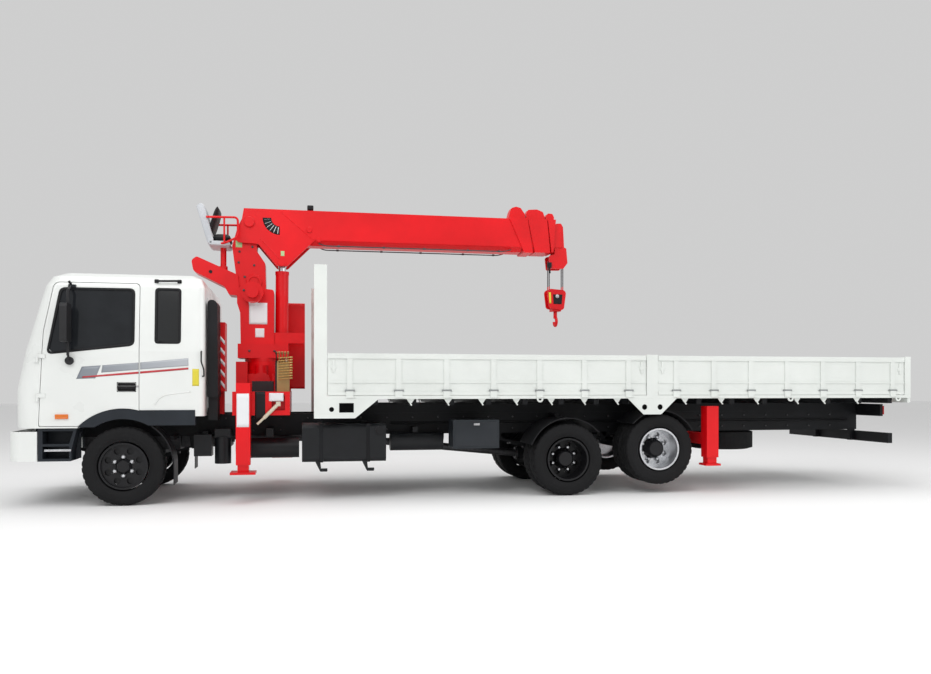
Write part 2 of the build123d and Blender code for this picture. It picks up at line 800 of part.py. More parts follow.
def cab_section(height, front, rear, half_width, corner, inset):
    """One level of the cab seen from above, with a crowned front and rounded corners."""
    front = front + inset
    rear = rear - inset
    half = half_width - inset
    corner = max(corner - inset, 12)
    back_corner = max(55 - inset, 12)
    diagonal = 1 - cos(radians(45))
    nose = front + CAB_CROWN

    def point(s, y):
        return (at(s), y, height)

    front_line = ThreePointArc(point(nose, half - corner), point(front, 0), point(nose, corner - half))
    right_front = ThreePointArc(
        point(nose, corner - half),
        point(nose + corner * diagonal, corner * diagonal - half),
        point(nose + corner, -half),
    )
    right_side = Line(point(nose + corner, -half), point(rear - back_corner, -half))
    right_back = ThreePointArc(
        point(rear - back_corner, -half),
        point(rear - back_corner * diagonal, back_corner * diagonal - half),
        point(rear, back_corner - half),
    )
    back_line = Line(point(rear, back_corner - half), point(rear, half - back_corner))
    left_back = ThreePointArc(
        point(rear, half - back_corner),
        point(rear - back_corner * diagonal, half - back_corner * diagonal),
        point(rear - back_corner, half),
    )
    left_side = Line(point(rear - back_corner, half), point(nose + corner, half))
    left_front = ThreePointArc(
        point(nose + corner, half),
        point(nose + corner * diagonal, half - corner * diagonal),
        point(nose, half - corner),
    )
    edges = [front_line, right_front, right_side, right_back, back_line, left_back, left_side, left_front]
    return make_face(edges)


def cab_form(inset, bottom, top_drop):
    """The cab's outer form, or its inside when inset."""
    half = CAB_HALF_WIDTH
    levels = [
        (bottom, CAB_FRONT, CAB_REAR, half, 170),
        (1218, CAB_FRONT - 8, CAB_REAR, half, 180),
        (CAB_BELT, CAB_FRONT + 72, CAB_REAR, half - 4, 190),
        (2330, CAB_FRONT + 262, CAB_REAR - 4, half - 66, 150),
        (2430 - top_drop, CAB_FRONT + 330, CAB_REAR - 40, half - 100, 130),
        (2474 - top_drop, CAB_FRONT + 430, CAB_REAR - 120, half - 190, 110),
        (2490 - top_drop, CAB_FRONT + 720, CAB_REAR - 220, half - 330, 100),
    ]
    sections = [cab_section(z, front, rear, width, corner, inset) for z, front, rear, width, corner in levels]
    return loft(sections, ruled=True)


def door_outline(gap):
    """The door's outline seen from the side, drawn in by a gap."""
    return [
        (DOOR_FRONT + gap, DOOR_BOTTOM + gap, 20),
        (-785 + gap, 1853, 60),
        (-692 + gap, DOOR_TOP - gap, 70),
        (DOOR_REAR - gap, DOOR_TOP - gap, 45),
        (DOOR_REAR - gap, CAB_FLOOR - 60 + gap, 10),
        (-200, CAB_FLOOR - 60 + gap),
        (-430, DOOR_BOTTOM + gap, 10),
    ]


def door_window(gap):
    """The door's window seen from the side, drawn in by a gap."""
    return [(-740 + gap, 1612 + gap, 60), (-620 + gap, 2296 - gap, 50), (104 - gap, 2298 - gap, 50), (104 - gap, 1712 + gap, 50)]


def quarter_window(gap):
    """The window behind the door seen from the side, drawn in by a gap."""
    return [(332 + gap, 1736 + gap, 30), (332 + gap, 2308 - gap, 30), (574 - gap, 2308 - gap, 30), (574 - gap, 1736 + gap, 30)]


def windscreen(gap):
    """The windscreen seen from the front, drawn in by a gap."""
    return [(-950 + gap, 1670 + gap, 60), (-880 + gap, 2310 - gap, 90), (880 - gap, 2310 - gap, 90), (950 - gap, 1670 + gap, 60)]


def back_window(gap):
    """The back window seen from behind, drawn in by a gap."""
    return [(-420 + gap, 1820 + gap, 40), (-420 + gap, 2240 - gap, 40), (420 - gap, 2240 - gap, 40), (420 - gap, 1820 + gap, 40)]


def cab():
    """The cab's shell with the openings cut, its hinge lugs, and the two doors."""
    outer = cab_form(0, CAB_BOTTOM, 0)
    inner = cab_form(CAB_WALL, CAB_FLOOR, CAB_WALL)
    walls = outer - inner
    under = CAB_FLOOR - CAB_FLOOR_THICKNESS
    tunnel = block(CAB_FRONT + 45, CAB_REAR + 20, -CAB_TUNNEL_HALF, CAB_TUNNEL_HALF, 800, under)
    tunnel = tunnel + block(-440, CAB_REAR - CAB_WALL, -CAB_SILL_HALF, CAB_SILL_HALF, 800, under)
    wide = CAB_HALF_WIDTH + 20
    rear_low = block(0, CAB_REAR + 20, -wide, wide, 800, CAB_REAR_BOTTOM) + block(0, TRIM_REAR, -wide, wide, 800, TRIM_TOP)
    arch = cross_shaft(0, AXLE_HEIGHT, ARCH_OUTER, -CAB_HALF_WIDTH - 20, CAB_HALF_WIDTH + 20)
    walls = walls - tunnel - rear_low - arch
    step = block(-790, -480, CAB_TUNNEL_HALF + 20, CAB_HALF_WIDTH - DOOR_THICKNESS - 4, 900, CAB_FLOOR + 10)
    walls = walls - step - mirrored(step)
    window = side_plate(door_window(0), 800, CAB_HALF_WIDTH + 20)
    quarter = side_plate(quarter_window(0), 800, CAB_HALF_WIDTH + 20)
    walls = walls - quarter - mirrored(quarter)
    screen = end_plate(windscreen(0), CAB_FRONT - 20, -500)
    walls = walls - screen
    back = end_plate(back_window(0), 700, CAB_REAR + 30)
    walls = walls - back
    opening = side_plate(door_outline(0), CAB_HALF_WIDTH - 170, CAB_HALF_WIDTH + 20)
    leaf = side_plate(door_outline(DOOR_GAP), CAB_HALF_WIDTH - 170, CAB_HALF_WIDTH + 20)
    skin = outer - cab_form(DOOR_THICKNESS, DOOR_BOTTOM - 40, DOOR_THICKNESS)
    door = (skin & leaf) - window - cross_shaft(0, AXLE_HEIGHT, ARCH_OUTER + DOOR_GAP, 800, CAB_HALF_WIDTH + 30)
    cup = outer - cab_form(HANDLE_DEPTH, DOOR_BOTTOM - 40, HANDLE_DEPTH)
    cup = cup & side_plate([(-50, 1215, 15), (-50, 1305, 15), (130, 1305, 15), (130, 1215, 15)], 1000, CAB_HALF_WIDTH + 20)
    grip = block(-52, 132, CAB_HALF_WIDTH - 14, CAB_HALF_WIDTH + 4, 1246, 1272)
    door = door - cup + grip
    shell = walls - opening - mirrored(opening) - grille_slots(outer)
    s = DOOR_HINGE_STATION
    y = DOOR_HINGE_SIDE
    for height in DOOR_HINGE_HEIGHTS:
        low = height - DOOR_HINGE_HALF
        high = height + DOOR_HINGE_HALF
        fixed = rod((s, y, low), (s, y, height - SEAT_GAP), DOOR_HINGE_RADIUS)
        fixed = fixed + block(s - 34, s, CAB_HALF_WIDTH - 15, y - 4, low, height - SEAT_GAP)
        shell = shell + fixed + mirrored(fixed)
        door = door + rod((s, y, height), (s, y, high), DOOR_HINGE_RADIUS)
        door = door + block(s, s + DOOR_STRAP, CAB_HALF_WIDTH + 2, y, height, high)
        door = door + block(s + DOOR_STRAP - 20, s + DOOR_STRAP, CAB_HALF_WIDTH - 12, y, height, high)
    for side in (-1, 1):
        y = side * 300
        lug = side_plate(
            [(PIVOT_STATION + 8, PIVOT_HEIGHT), (PIVOT_STATION + 8, CAB_FLOOR - 5), (PIVOT_STATION + 60, CAB_FLOOR - 5), (PIVOT_STATION + PIVOT_EYE_RADIUS, PIVOT_HEIGHT)],
            y - 20,
            y + 20,
        )
        eye = cross_shaft(PIVOT_STATION, PIVOT_HEIGHT, PIVOT_EYE_RADIUS, y - 20, y + 20)
        bore = cross_shaft(PIVOT_STATION, PIVOT_HEIGHT, PIVOT_TUBE_RADIUS + RUNNING_GAP, y - 25, y + 25)
        shell = shell + lug + eye - bore
    return shell, door


def grille_slots(outer):
    """Cutters for the grille: level slots through the front panel's skin, with bars left between them."""
    skin = outer - cab_form(GRILLE_DEPTH, CAB_BOTTOM, GRILLE_DEPTH)
    cutter = None
    for index in range(GRILLE_SLOTS):
        low = GRILLE_LOW + index * GRILLE_PITCH
        half = GRILLE_HALF + index * 12
        strip = end_plate(
            [(-half, low, 8), (-half, low + GRILLE_SLOT, 8), (half, low + GRILLE_SLOT, 8), (half, low, 8)],
            CAB_FRONT - 30,
            CAB_FRONT + 140,
        )
        slot = skin & strip
        cutter = slot if cutter is None else cutter + slot
    return cutter


def window_glass():
    """The panes: windscreen, back window and the two behind the doors, then a door's pane."""
    outer = cab_form(8, CAB_BOTTOM, 8)
    inner = cab_form(8 + GLASS_THICKNESS, CAB_BOTTOM, 8 + GLASS_THICKNESS)
    skin = outer - inner
    gap = SEAT_GAP
    screen = end_plate(windscreen(gap), CAB_FRONT - 20, -500)
    back = end_plate(back_window(gap), 700, CAB_REAR + 30)
    quarter = side_plate(quarter_window(gap), 800, CAB_HALF_WIDTH + 20)
    window = side_plate(door_window(gap), 800, CAB_HALF_WIDTH + 20)
    fixed = [skin & screen, skin & back, skin & quarter, skin & mirrored(quarter)]
    return fixed, skin & window


def mirror_arm():
    """The left mirror: a foot above and below the window, the tube between them and its housing."""
    tube_side = CAB_HALF_WIDTH + MIRROR_OUT
    low_foot = cross_shaft(MIRROR_STATION, MIRROR_LOW, 42, CAB_HALF_WIDTH - MIRROR_LOW_INSET, CAB_HALF_WIDTH + 30)
    low_arm = rod((MIRROR_STATION, CAB_HALF_WIDTH + 20, MIRROR_LOW), (MIRROR_STATION, tube_side, MIRROR_LOW + 70), 12)
    high_side = CAB_HALF_WIDTH - MIRROR_HIGH_INSET
    high_foot = block(MIRROR_STATION - 26, MIRROR_STATION + 50, high_side, high_side + 20, MIRROR_HIGH - 16, MIRROR_HIGH + 16)
    high_arm = rod((MIRROR_STATION, high_side + 10, MIRROR_HIGH), (MIRROR_STATION, tube_side, MIRROR_HIGH - 60), 12)
    tube = rod((MIRROR_STATION, tube_side, MIRROR_LOW + 55), (MIRROR_STATION, tube_side, MIRROR_HIGH - 45), 14)
    low = MIRROR_LOW + 190
    housing = end_plate(
        [(tube_side - 60, low, 30), (tube_side - 60, low + 400, 30), (tube_side + 130, low + 400, 40), (tube_side + 130, low, 40)],
        MIRROR_STATION - 50,
        MIRROR_STATION + 20,
    )
    return low_foot + low_arm + high_foot + high_arm + tube + housing


def arch_trim():
    """The left dark trim over the wheel arch, with its straight run to the cab's back."""
    gap = SEAT_GAP
    ring = cross_shaft(0, AXLE_HEIGHT, ARCH_OUTER - gap, 1020, CAB_HALF_WIDTH + 8)
    ring = ring - cross_shaft(0, AXLE_HEIGHT, ARCH_INNER, 1000, CAB_HALF_WIDTH + 20)
    keep = block(-600, 200, 1000, CAB_HALF_WIDTH + 20, 838, 1060)
    band = block(DOOR_REAR + TRIM_CLEARANCE, TRIM_REAR - gap, 1020, CAB_HALF_WIDTH + 8, TRIM_BOTTOM, TRIM_TOP - gap)
    band = band - cross_shaft(0, AXLE_HEIGHT, ARCH_INNER, 1000, CAB_HALF_WIDTH + 20)
    return (ring & keep) + band


def cab_interior():
    """Dashboard, steering wheel, two seats and the bunk behind them."""
    foot = CAB_FLOOR + SEAT_GAP
    dash = side_plate(
        [(-1000, foot), (-960, 1560, 40), (-760, 1520, 60), (-700, 1300, 40), (-860, 1150), (-860, foot)],
        -980,
        980,
    )
    bunk = block(420, CAB_REAR - CAB_WALL - 10, -980, 980, CAB_FLOOR + SEAT_GAP, 1380)
    pieces = [bunk]
    for side in (-1, 1):
        y = side * 520
        seat = side_plate(
            [(-160, CAB_FLOOR + SEAT_GAP), (-200, 1420, 50), (180, 1440), (260, 2060, 60), (400, 2060, 60), (340, 1300), (320, CAB_FLOOR + SEAT_GAP)],
            y - 250,
            y + 250,
        )
        pieces.append(seat)
    axis_start = Vector(at(-420), 520, 1560)
    wheel = Plane(origin=axis_start, z_dir=(-0.55, 0, 1)) * Torus(210, 16)
    column = rod((-740, 520, 1400), (-420, 520, 1560), 30)
    spokes = Plane(origin=axis_start, z_dir=(-0.55, 0, 1)) * Box(410, 40, 20)
    pieces.append(dash + column + wheel + spokes)
    return pieces


def air_intake():
    """The black duct that stands behind the cab, on a bracket from the frame."""
    duct = side_plate(
        [(846, 1150), (846, 2216, 40), (950, 2216, 60), (958, 1150)],
        600,
        940,
    )
    neck = block(850, 950, 640, 900, 900, 1150)
    bracket = block(870, 930, FRAME_HALF_WIDTH + SEAT_GAP, 700, 890, 930)
    return duct + neck + bracket


# Crane


def crane_base():
    """The box across the frame with two sleeves for the outrigger beams, and the pedestal."""
    half = BASE_HALF
    shell = block(BASE_FRONT, BASE_REAR, -half, half, FRAME_TOP + SEAT_GAP, 1210)
    for station in (FRONT_BEAM_STATION, REAR_BEAM_STATION):
        shell = shell - beam_form(station, BEAM_CLEARANCE, -half - 10, half + 10)
    front_post = block(1100, 1232, -300, 300, 1200, SLEW_HEIGHT - 15)
    waist = block(1220, 1540, -210, 210, 1200, 1420)
    collar = rod((SLEW_STATION, 0, 1300), (SLEW_STATION, 0, SLEW_HEIGHT - SEAT_GAP), COLLAR_RADIUS)
    gearbox = rod((1390, 0, 1330), (1390, 330, 1330), 105) + rod((1390, 250, 1330), (1390, 250, 1520), 75)
    return shell + front_post + waist + collar + gearbox


def beam_form(station, grown, y0, y1):
    """The solid form of an outrigger beam, grown by a clearance."""
    return block(station - BEAM_WIDTH / 2 - grown, station + BEAM_WIDTH / 2 + grown, y0, y1, BEAM_LOW - grown, BEAM_HIGH + grown)


def outrigger_beam(station):
    """The left beam with pads in its sleeve, and the jack's outer tube at its end."""
    beam = beam_form(station, 0, -950, LEG_CENTRE)
    pads = beam_form(station, BEAM_CLEARANCE - SEAT_GAP, -940, -860)
    tube = leg_tube(station, LEG_BOTTOM, LEG_TOP)
    return beam + pads + tube - leg_bore(station, LEG_BOTTOM, LEG_TOP)


def leg_tube(station, low, high):
    """The square outer tube of a jack."""
    half = LEG_WIDTH / 2
    return block(station - half, station + half, LEG_CENTRE - half, LEG_CENTRE + half, low, high)


def leg_bore(station, low, high):
    """The hollow of a jack's outer tube, closed at the top."""
    half = LEG_WIDTH / 2 - 10
    return block(station - half, station + half, LEG_CENTRE - half, LEG_CENTRE + half, low - 10, high - 12)


def jack(station, low, high, foot_half):
    """The inner leg of a jack with its foot plate."""
    half = LEG_WIDTH / 2 - 16
    leg = block(station - half, station + half, LEG_CENTRE - half, LEG_CENTRE + half, low + 20, high - 120)
    guide = half + 6 - SEAT_GAP
    pad = block(station - guide, station + guide, LEG_CENTRE - guide, LEG_CENTRE + guide, high - 220, high - 120)
    foot = block(station - foot_half, station + foot_half, LEG_CENTRE - foot_half, LEG_CENTRE + foot_half, low, low + 24)
    inside = half - JACK_BAR
    hollow = block(station - inside, station + inside, LEG_CENTRE - inside, LEG_CENTRE + inside, low + 40, high - 100)
    return leg + pad - hollow + foot


def rear_outrigger():
    """The rear cross tube under the rails with a fixed jack tube at each end."""
    tube = leg_tube(REAR_LEG_STATION, LEG_BOTTOM, REAR_LEG_TOP) - leg_bore(REAR_LEG_STATION, LEG_BOTTOM, REAR_LEG_TOP)
    cross = block(
        REAR_LEG_STATION - 60,
        REAR_LEG_STATION + 60,
        -LEG_CENTRE + LEG_WIDTH / 2 - 5,
        LEG_CENTRE - LEG_WIDTH / 2 + 5,
        FRAME_BOTTOM - SEAT_GAP - 130,
        FRAME_BOTTOM - SEAT_GAP,
    )
    return cross + tube + mirrored(tube)


def column():
    """The slewing column: foot flange, tapered body, head for the boom's pin, and the luff lugs."""
    flange = rod((SLEW_STATION, 0, SLEW_HEIGHT), (SLEW_STATION, 0, SLEW_HEIGHT + 40), COLLAR_RADIUS + 5)
    turntable = block(1116, 1702, -TURNTABLE_HALF, TURNTABLE_HALF, SLEW_HEIGHT + 30, 1775)
    body = side_plate(
        [
            (1150, SLEW_HEIGHT + 30),
            (1141, 2145),
            (1105, 2260, 40),
            (1105, 2460, 60),
            (1533, 2425, 30),
            (1533, SLEW_HEIGHT + 30),
        ],
        -180,
        180,
    )
    head = side_plate(
        [
            (1120, 2300),
            (1089, 2599),
            (1044, 2947, 40),
            (1110, 3180),
            (1180, 3320, 60),
            (1310, 3320, 60),
            (1345, 3150),
            (1331, 2892),
            (1430, 2746, 40),
            (1440, 2300),
        ],
        -118,
        118,
    )
    lugs = side_plate([(1500, 1640), (1702, 1640), (1702, 1787), (1890, 1790, 15), (1890, 1915, 15), (1500, 1915)], -150, 150)
    gap = block(1534, 1900, -92, 92, LUFF_POCKET_FLOOR, 1950)
    foot_bore = cross_shaft(FOOT_PIN_STATION, FOOT_PIN_HEIGHT, FOOT_PIN_RADIUS + RUNNING_GAP, -140, 140)
    luff_pin = cross_shaft(LUFF_LOW_STATION, LUFF_LOW_HEIGHT, 30, -150, 150)
    return flange + turntable + body + head + lugs - gap - foot_bore + luff_pin


def winch():
    """The winch housing on the column's left side."""
    drum = cross_shaft(1290, 2380, 125, 180 + SEAT_GAP, 290)
    motor = cross_shaft(1290, 2380, 70, 290, 350)
    return drum + motor


def seat_arm():
    """The slab arm ahead of the column, with the seat's socket."""
    slab = side_plate(
        [
            (580, 2761, 50),
            (640, 2806, 30),
            (1110, 2600),
            (1125, 2480),
            (1125, 2350),
            (1011, 2360, 20),
            (961, 2455, 60),
            (605, 2630, 60),
        ],
        -150,
        150,
    )
    return slab + rod((SEAT_STATION, 0, 2640), (SEAT_STATION, 0, SEAT_POST_FOOT - SEAT_GAP), 50)


def top_seat():
    """The operator's seat on its post, with a loop rail each side."""
    post = rod((SEAT_STATION, 0, SEAT_POST_FOOT), (SEAT_STATION, 0, 2960), 35)
    pan = side_plate([(770, 2950, 20), (790, 3000, 20), (1010, 2995, 20), (1000, 2945, 20)], -235, 235)
    cushion = side_plate([(790, 2990), (780, 3080, 30), (1030, 3090, 40), (1030, 2990, 20)], -225, 225)
    back = side_plate([(770, 2960, 20), (640, 3390, 40), (720, 3430, 40), (860, 3060, 40), (860, 2960)], -235, 235)
    rails = None
    for side in (-1, 1):
        y = side * 255
        loop = rod((935, y, 2950), (935, y, 3260), 15) + rod((660, y, 3340), (1040, y, 3340), 15)
        loop = loop + rod((935, y, 3250), (935, y, 3345), 15)
        loop = loop + block(900, 970, side * 225, side * 265, 2945, 2965)
        rails = loop if rails is None else rails + loop
    return post + pan + cushion + back + rails


def section_corners(index, inset):
    """A boom section's outline seen from its end."""
    shrink = index * (BOOM_WALL + BOOM_STEP) + inset
    half = BOOM_WIDTH / 2 - shrink
    low = BOOM_BOTTOM + shrink
    high = BOOM_TOP - shrink
    chamfer = BOOM_CHAMFER - shrink * (2 - sqrt(2))
    return [
        (-half, low + chamfer),
        (-half + chamfer, low),
        (half - chamfer, low),
        (half, low + chamfer),
        (half, high),
        (-half, high),
    ]


def boom_base():
    """The outer boom section with its foot plates, the gusset for the luff cylinder, and its mouth."""
    tube = end_plate(section_corners(0, 0), 1440, BOOM_MOUTH) - end_plate(section_corners(0, BOOM_WALL), 1400, BOOM_MOUTH + 20)
    half = BOOM_WIDTH / 2
    cheek = side_plate(
        [
            (BOOM_ROOT, BOOM_TOP),
            (1141, 3161),
            (1089, 3021, 20),
            (1120, 2985),
            (1348, 2973),
            (1565, 2715, 30),
            (1690, 2715, 30),
            (2017, BOOM_BOTTOM + 62),
            (2017, BOOM_TOP),
        ],
        half - BOOM_WALL - 20,
        half,
    )
    top = block(BOOM_ROOT + 4, 1460, -half, half, BOOM_TOP - BOOM_WALL, BOOM_TOP)
    pin = cross_shaft(FOOT_PIN_STATION, FOOT_PIN_HEIGHT, FOOT_PIN_RADIUS, -half - 12, half + 12)
    boss = cross_shaft(LUFF_TOP_STATION, LUFF_TOP_HEIGHT, LUFF_BOSS_RADIUS, half - 5, half + 10)
    mouth = side_plate(MOUTH_COLLAR, -half - 12, half + 12)
    hump = side_plate([(4300, BOOM_TOP + 12), (4300, 3700), (4900, 3700), (4900, BOOM_TOP + 12)], 70, half + 20)
    shape = tube + cheek + mirrored(cheek) + top + (mouth - hump - mirrored(hump))
    shape = shape - end_plate(section_corners(0, BOOM_WALL), 1440, BOOM_MOUTH + 200)
    return shape + pin + boss + mirrored(boss)


def boom_inner(index, mouth, root, collar_corners):
    """An inner boom section with its slide pads at the tail and a collar at its mouth."""
    tube = end_plate(section_corners(index, 0), root, mouth) - end_plate(section_corners(index, BOOM_WALL), root - 10, mouth + 20)
    pads = end_plate(section_corners(index, -BOOM_STEP + SEAT_GAP), root + 20, root + 120)
    pads = pads - end_plate(section_corners(index, BOOM_WALL), root - 10, root + 200)
    half = BOOM_WIDTH / 2
    collar = side_plate(collar_corners, -half, half)
    hump = side_plate([(4500, BOOM_TOP + 8), (4500, 3700), (5150, 3700), (5150, BOOM_TOP + 8)], 60, half + 20)
    collar = collar - hump - mirrored(hump) - end_plate(section_corners(index, BOOM_WALL), 4500, 5150)
    return tube + pads + collar


def boom_head():
    """The last section with the head that carries the sheaves."""
    tube = end_plate(section_corners(3, 0), 1800, HEAD_END) - end_plate(section_corners(3, BOOM_WALL), 1790, HEAD_END - 30)
    pads = end_plate(section_corners(3, -BOOM_STEP + SEAT_GAP), 1820, 1920) - end_plate(section_corners(3, BOOM_WALL), 1790, 1960)
    plate = side_plate(
        [
            (5064, 3345),
            (5072, 3362, 10),
            (5134, 3366, 15),
            (5162, 3319, 20),
            (5176, 3059),
            (5205, 3046, 10),
            (5222, 2859, 10),
            (5166, 2786, 20),
            (4990, 2782, 20),
            (4972, 2950, 30),
            (5050, 2968),
            (5050, 3060),
        ],
        80,
        100,
    )
    head = tube + pads + plate + mirrored(plate)
    head = head + cross_shaft(HOOK_AXIS_STATION, HOOK_AXIS_HEIGHT, 25, -100, 100)
    head = head + cross_shaft(5120, 3330, 20, -100, 100)
    head = head + block(5100, 5150, -90, 90, 3040, 3280)
    return head


def sheaves():
    """The sheaves in the boom's head."""
    pieces = []
    for side in (-1, 1):
        ring = turned_ring([(side * 10, 25 + SEAT_GAP), (side * 10, SHEAVE_GROOVE + 11), (side * 22, SHEAVE_GROOVE), (side * 46, SHEAVE_GROOVE), (side * 58, SHEAVE_GROOVE + 11), (side * 58, 25 + SEAT_GAP)], HOOK_AXIS_STATION, HOOK_AXIS_HEIGHT)
        pieces.append(ring)
    return pieces


def luff_barrel():
    """The luff cylinder's barrel with its lower eye."""
    eye = cross_shaft(LUFF_LOW_STATION, LUFF_LOW_HEIGHT, 60, -86, 86)
    end = LUFF_BARREL_LENGTH
    barrel = along_luff(0, end - 10, LUFF_BARREL_RADIUS)
    bore = along_luff(35, end + 10, LUFF_ROD_RADIUS + 12)
    cap = along_luff(end - 40, end, LUFF_BARREL_RADIUS + 5) - along_luff(end - 50, end + 10, LUFF_ROD_RADIUS + RUNNING_GAP)
    pin_bore = cross_shaft(LUFF_LOW_STATION, LUFF_LOW_HEIGHT, 30 + RUNNING_GAP, -100, 100)
    return (barrel - bore) + cap + eye - pin_bore


def luff_axis():
    """The unit direction from the cylinder's lower pin to its upper pin."""
    low = Vector(at(LUFF_LOW_STATION), 0, LUFF_LOW_HEIGHT)
    high = Vector(at(LUFF_TOP_STATION), 0, LUFF_TOP_HEIGHT)
    return (high - low).normalized()


def along_luff(start, end, radius):
    """A round bar on the luff cylinder's axis, between two distances from its lower pin."""
    low = Vector(at(LUFF_LOW_STATION), 0, LUFF_LOW_HEIGHT)
    direction = luff_axis()
    middle = low + direction * ((start + end) / 2)
    return Plane(origin=middle, z_dir=direction) * Cylinder(radius, end - start)


def luff_rod():
    """The luff cylinder's rod with its upper eye and its piston."""
    low = Vector(at(LUFF_LOW_STATION), 0, LUFF_LOW_HEIGHT)
    high = Vector(at(LUFF_TOP_STATION), 0, LUFF_TOP_HEIGHT)
    length = (high - low).length
    eye = cross_shaft(LUFF_TOP_STATION, LUFF_TOP_HEIGHT, 62, -LUFF_EYE_HALF, LUFF_EYE_HALF)
    pin = cross_shaft(LUFF_TOP_STATION, LUFF_TOP_HEIGHT, LUFF_PIN_RADIUS, -LUFF_PIN_HALF, LUFF_PIN_HALF)
    return along_luff(65, length - 20, LUFF_ROD_RADIUS) + along_luff(65, 115, LUFF_ROD_RADIUS + 12 - SEAT_GAP) + eye + pin


def hook_block():
    """The hook block: cheeks, sheaves between them, the rope falls and the hook."""
    station = HOOK_AXIS_STATION
    cheek = side_plate(
        [(station - 135, 2530, 50), (station + 125, 2510, 50), (station + 90, 2250, 40), (station - 105, 2280, 40)],
        62,
        80,
    )
    block_form = cheek + mirrored(cheek)
    axle = cross_shaft(station, HOOK_SHEAVE_HEIGHT, 22, -80, 80)
    sheave = cross_shaft(station, HOOK_SHEAVE_HEIGHT, SHEAVE_GROOVE, -60, 60)
    yoke = block(station - 60, station + 60, -62, 62, 2240, 2320)
    shank = rod((station, 0, 2150), (station, 0, 2245), 24)
    return block_form + axle + sheave + yoke + shank + hook(station)


def hook(station):
    """The forged hook, which opens sideways: a round bar bent round its throat."""
    centre_height = 2110
    radius = 52
    path = ThreePointArc(
        (at(station) - 0, 0, centre_height + radius),
        (at(station - radius), 0, centre_height),
        (at(station), 0, centre_height - radius),
    )
    tail = ThreePointArc(
        (at(station), 0, centre_height - radius),
        (at(station + radius * cos(radians(45))), 0, centre_height - radius * sin(radians(45))),
        (at(station + radius), 0, centre_height),
    )
    profile = Plane(origin=path @ 0, z_dir=path % 0) * Circle(19)
    first = sweep(profile, path=path)
    profile = Plane(origin=tail @ 0, z_dir=tail % 0) * Circle(19)
    second = sweep(profile, path=tail)
    form = Pos(-at(station), 0, 0) * (first + second)
    return Pos(at(station), 0, 0) * (Rot(0, 0, 90) * form)


def ropes():
    """The rope falls between the boom's head and the hook block."""
    falls = []
    reach = SHEAVE_GROOVE + ROPE_RADIUS + SEAT_GAP
    for side in (-34, 34):
        for offset in (-reach, reach):
            station = HOOK_AXIS_STATION + offset
            falls.append(rod((station, side, HOOK_SHEAVE_HEIGHT), (station, side, HOOK_AXIS_HEIGHT), ROPE_RADIUS))
    return falls


def valve_bank():
    """The control valves on the base's left side."""
    bank = block(1560, 1720, 400, 620, 1210 + SEAT_GAP, 1560)
    stand = block(1300, 1540, 420, 600, 1210 + SEAT_GAP, 1330)
    for index in range(LEVERS):
        station = 1575 + index * LEVER_PITCH
        bank = bank + rod((station, 590, 1500), (station, 690, 1650), 7)
        bank = bank + rod((station, 683, 1640), (station, 697, 1661), 13)
    return bank + stand


def oil_tank():
    """The hydraulic oil tank on the base's right side."""
    return end_plate([(-800, 1240, 30), (-420, 1240, 30), (-420, 2330, 30), (-800, 2330, 30)], 1684, 1900) + block(
        1690, 1725, -780, -440, 1210 + SEAT_GAP, 1260
    )


def striped_guard():
    """The upright board between the cab and the crane, on its foot."""
    board = block(880, 1000, 300, 560, 1210, 2000)
    foot = block(900, 980, 330, 424, FRAME_TOP + SEAT_GAP, 1215)
    return board + foot


# Bed


def bed_frame():
    """Two long sills and the cross bearers under the floor."""
    sill = block(2060, FRAME_REAR - 10, FRAME_HALF_WIDTH - 80, FRAME_HALF_WIDTH, FRAME_TOP + SEAT_GAP, 1064)
    frame_form = sill + mirrored(sill)
    count = 17
    pitch = (FRAME_REAR - 80 - 2200) / (count - 1)
    for index in range(count):
        station = 2200 + index * pitch
        frame_form = frame_form + block(station, station + 60, -1150, 1150, 1060, BED_FLOOR_BOTTOM - SEAT_GAP)
    return frame_form


def bed_floor():
    """The floor with its raised deck, its rear sill, its rope hooks and the fixed halves of the gates' hinges."""
    floor = block(BED_FRONT + POST_WIDTH, BED_END, -BED_HALF_WIDTH, BED_HALF_WIDTH, BED_FLOOR_BOTTOM, BED_TOP)
    deck_front = BED_FRONT + POST_WIDTH + DECK_INSET
    deck_rear = BED_END - REAR_POST_WIDTH - DECK_INSET
    floor = floor + block(deck_front, deck_rear, -DECK_HALF, DECK_HALF, BED_TOP - DECK_LIFT, BED_TOP + DECK_LIFT)
    sill_half = BED_HALF_WIDTH - 10
    floor = floor + block(BED_END - 40, BED_END, -sill_half, sill_half, BED_FLOOR_BOTTOM - 60, BED_TOP)
    axis_side = BED_HALF_WIDTH + HINGE_OUT
    for station in front_gate_stiles() + rear_gate_stiles():
        near = station + HINGE_HALF + SEAT_GAP
        far = near + HINGE_LUG
        lug = rod((near, axis_side, HINGE_HEIGHT), (far, axis_side, HINGE_HEIGHT), HINGE_RADIUS)
        lug = lug + block(near, far, BED_HALF_WIDTH - 10, axis_side, HINGE_HEIGHT - HINGE_RADIUS, HINGE_HEIGHT)
        floor = floor + lug + mirrored(lug)
    axis_station = BED_END + HINGE_OUT
    for centre in tailgate_stiles():
        near = centre + HINGE_HALF + SEAT_GAP
        far = near + HINGE_LUG
        lug = rod((axis_station, near, HINGE_HEIGHT), (axis_station, far, HINGE_HEIGHT), HINGE_RADIUS)
        floor = floor + lug + block(BED_END - 10, axis_station, near, far, HINGE_HEIGHT - HINGE_RADIUS, HINGE_HEIGHT)
    for station in ROPE_HOOK_STATIONS:
        hook_form = rope_hook(station)
        floor = floor + hook_form + mirrored(hook_form)
    return floor


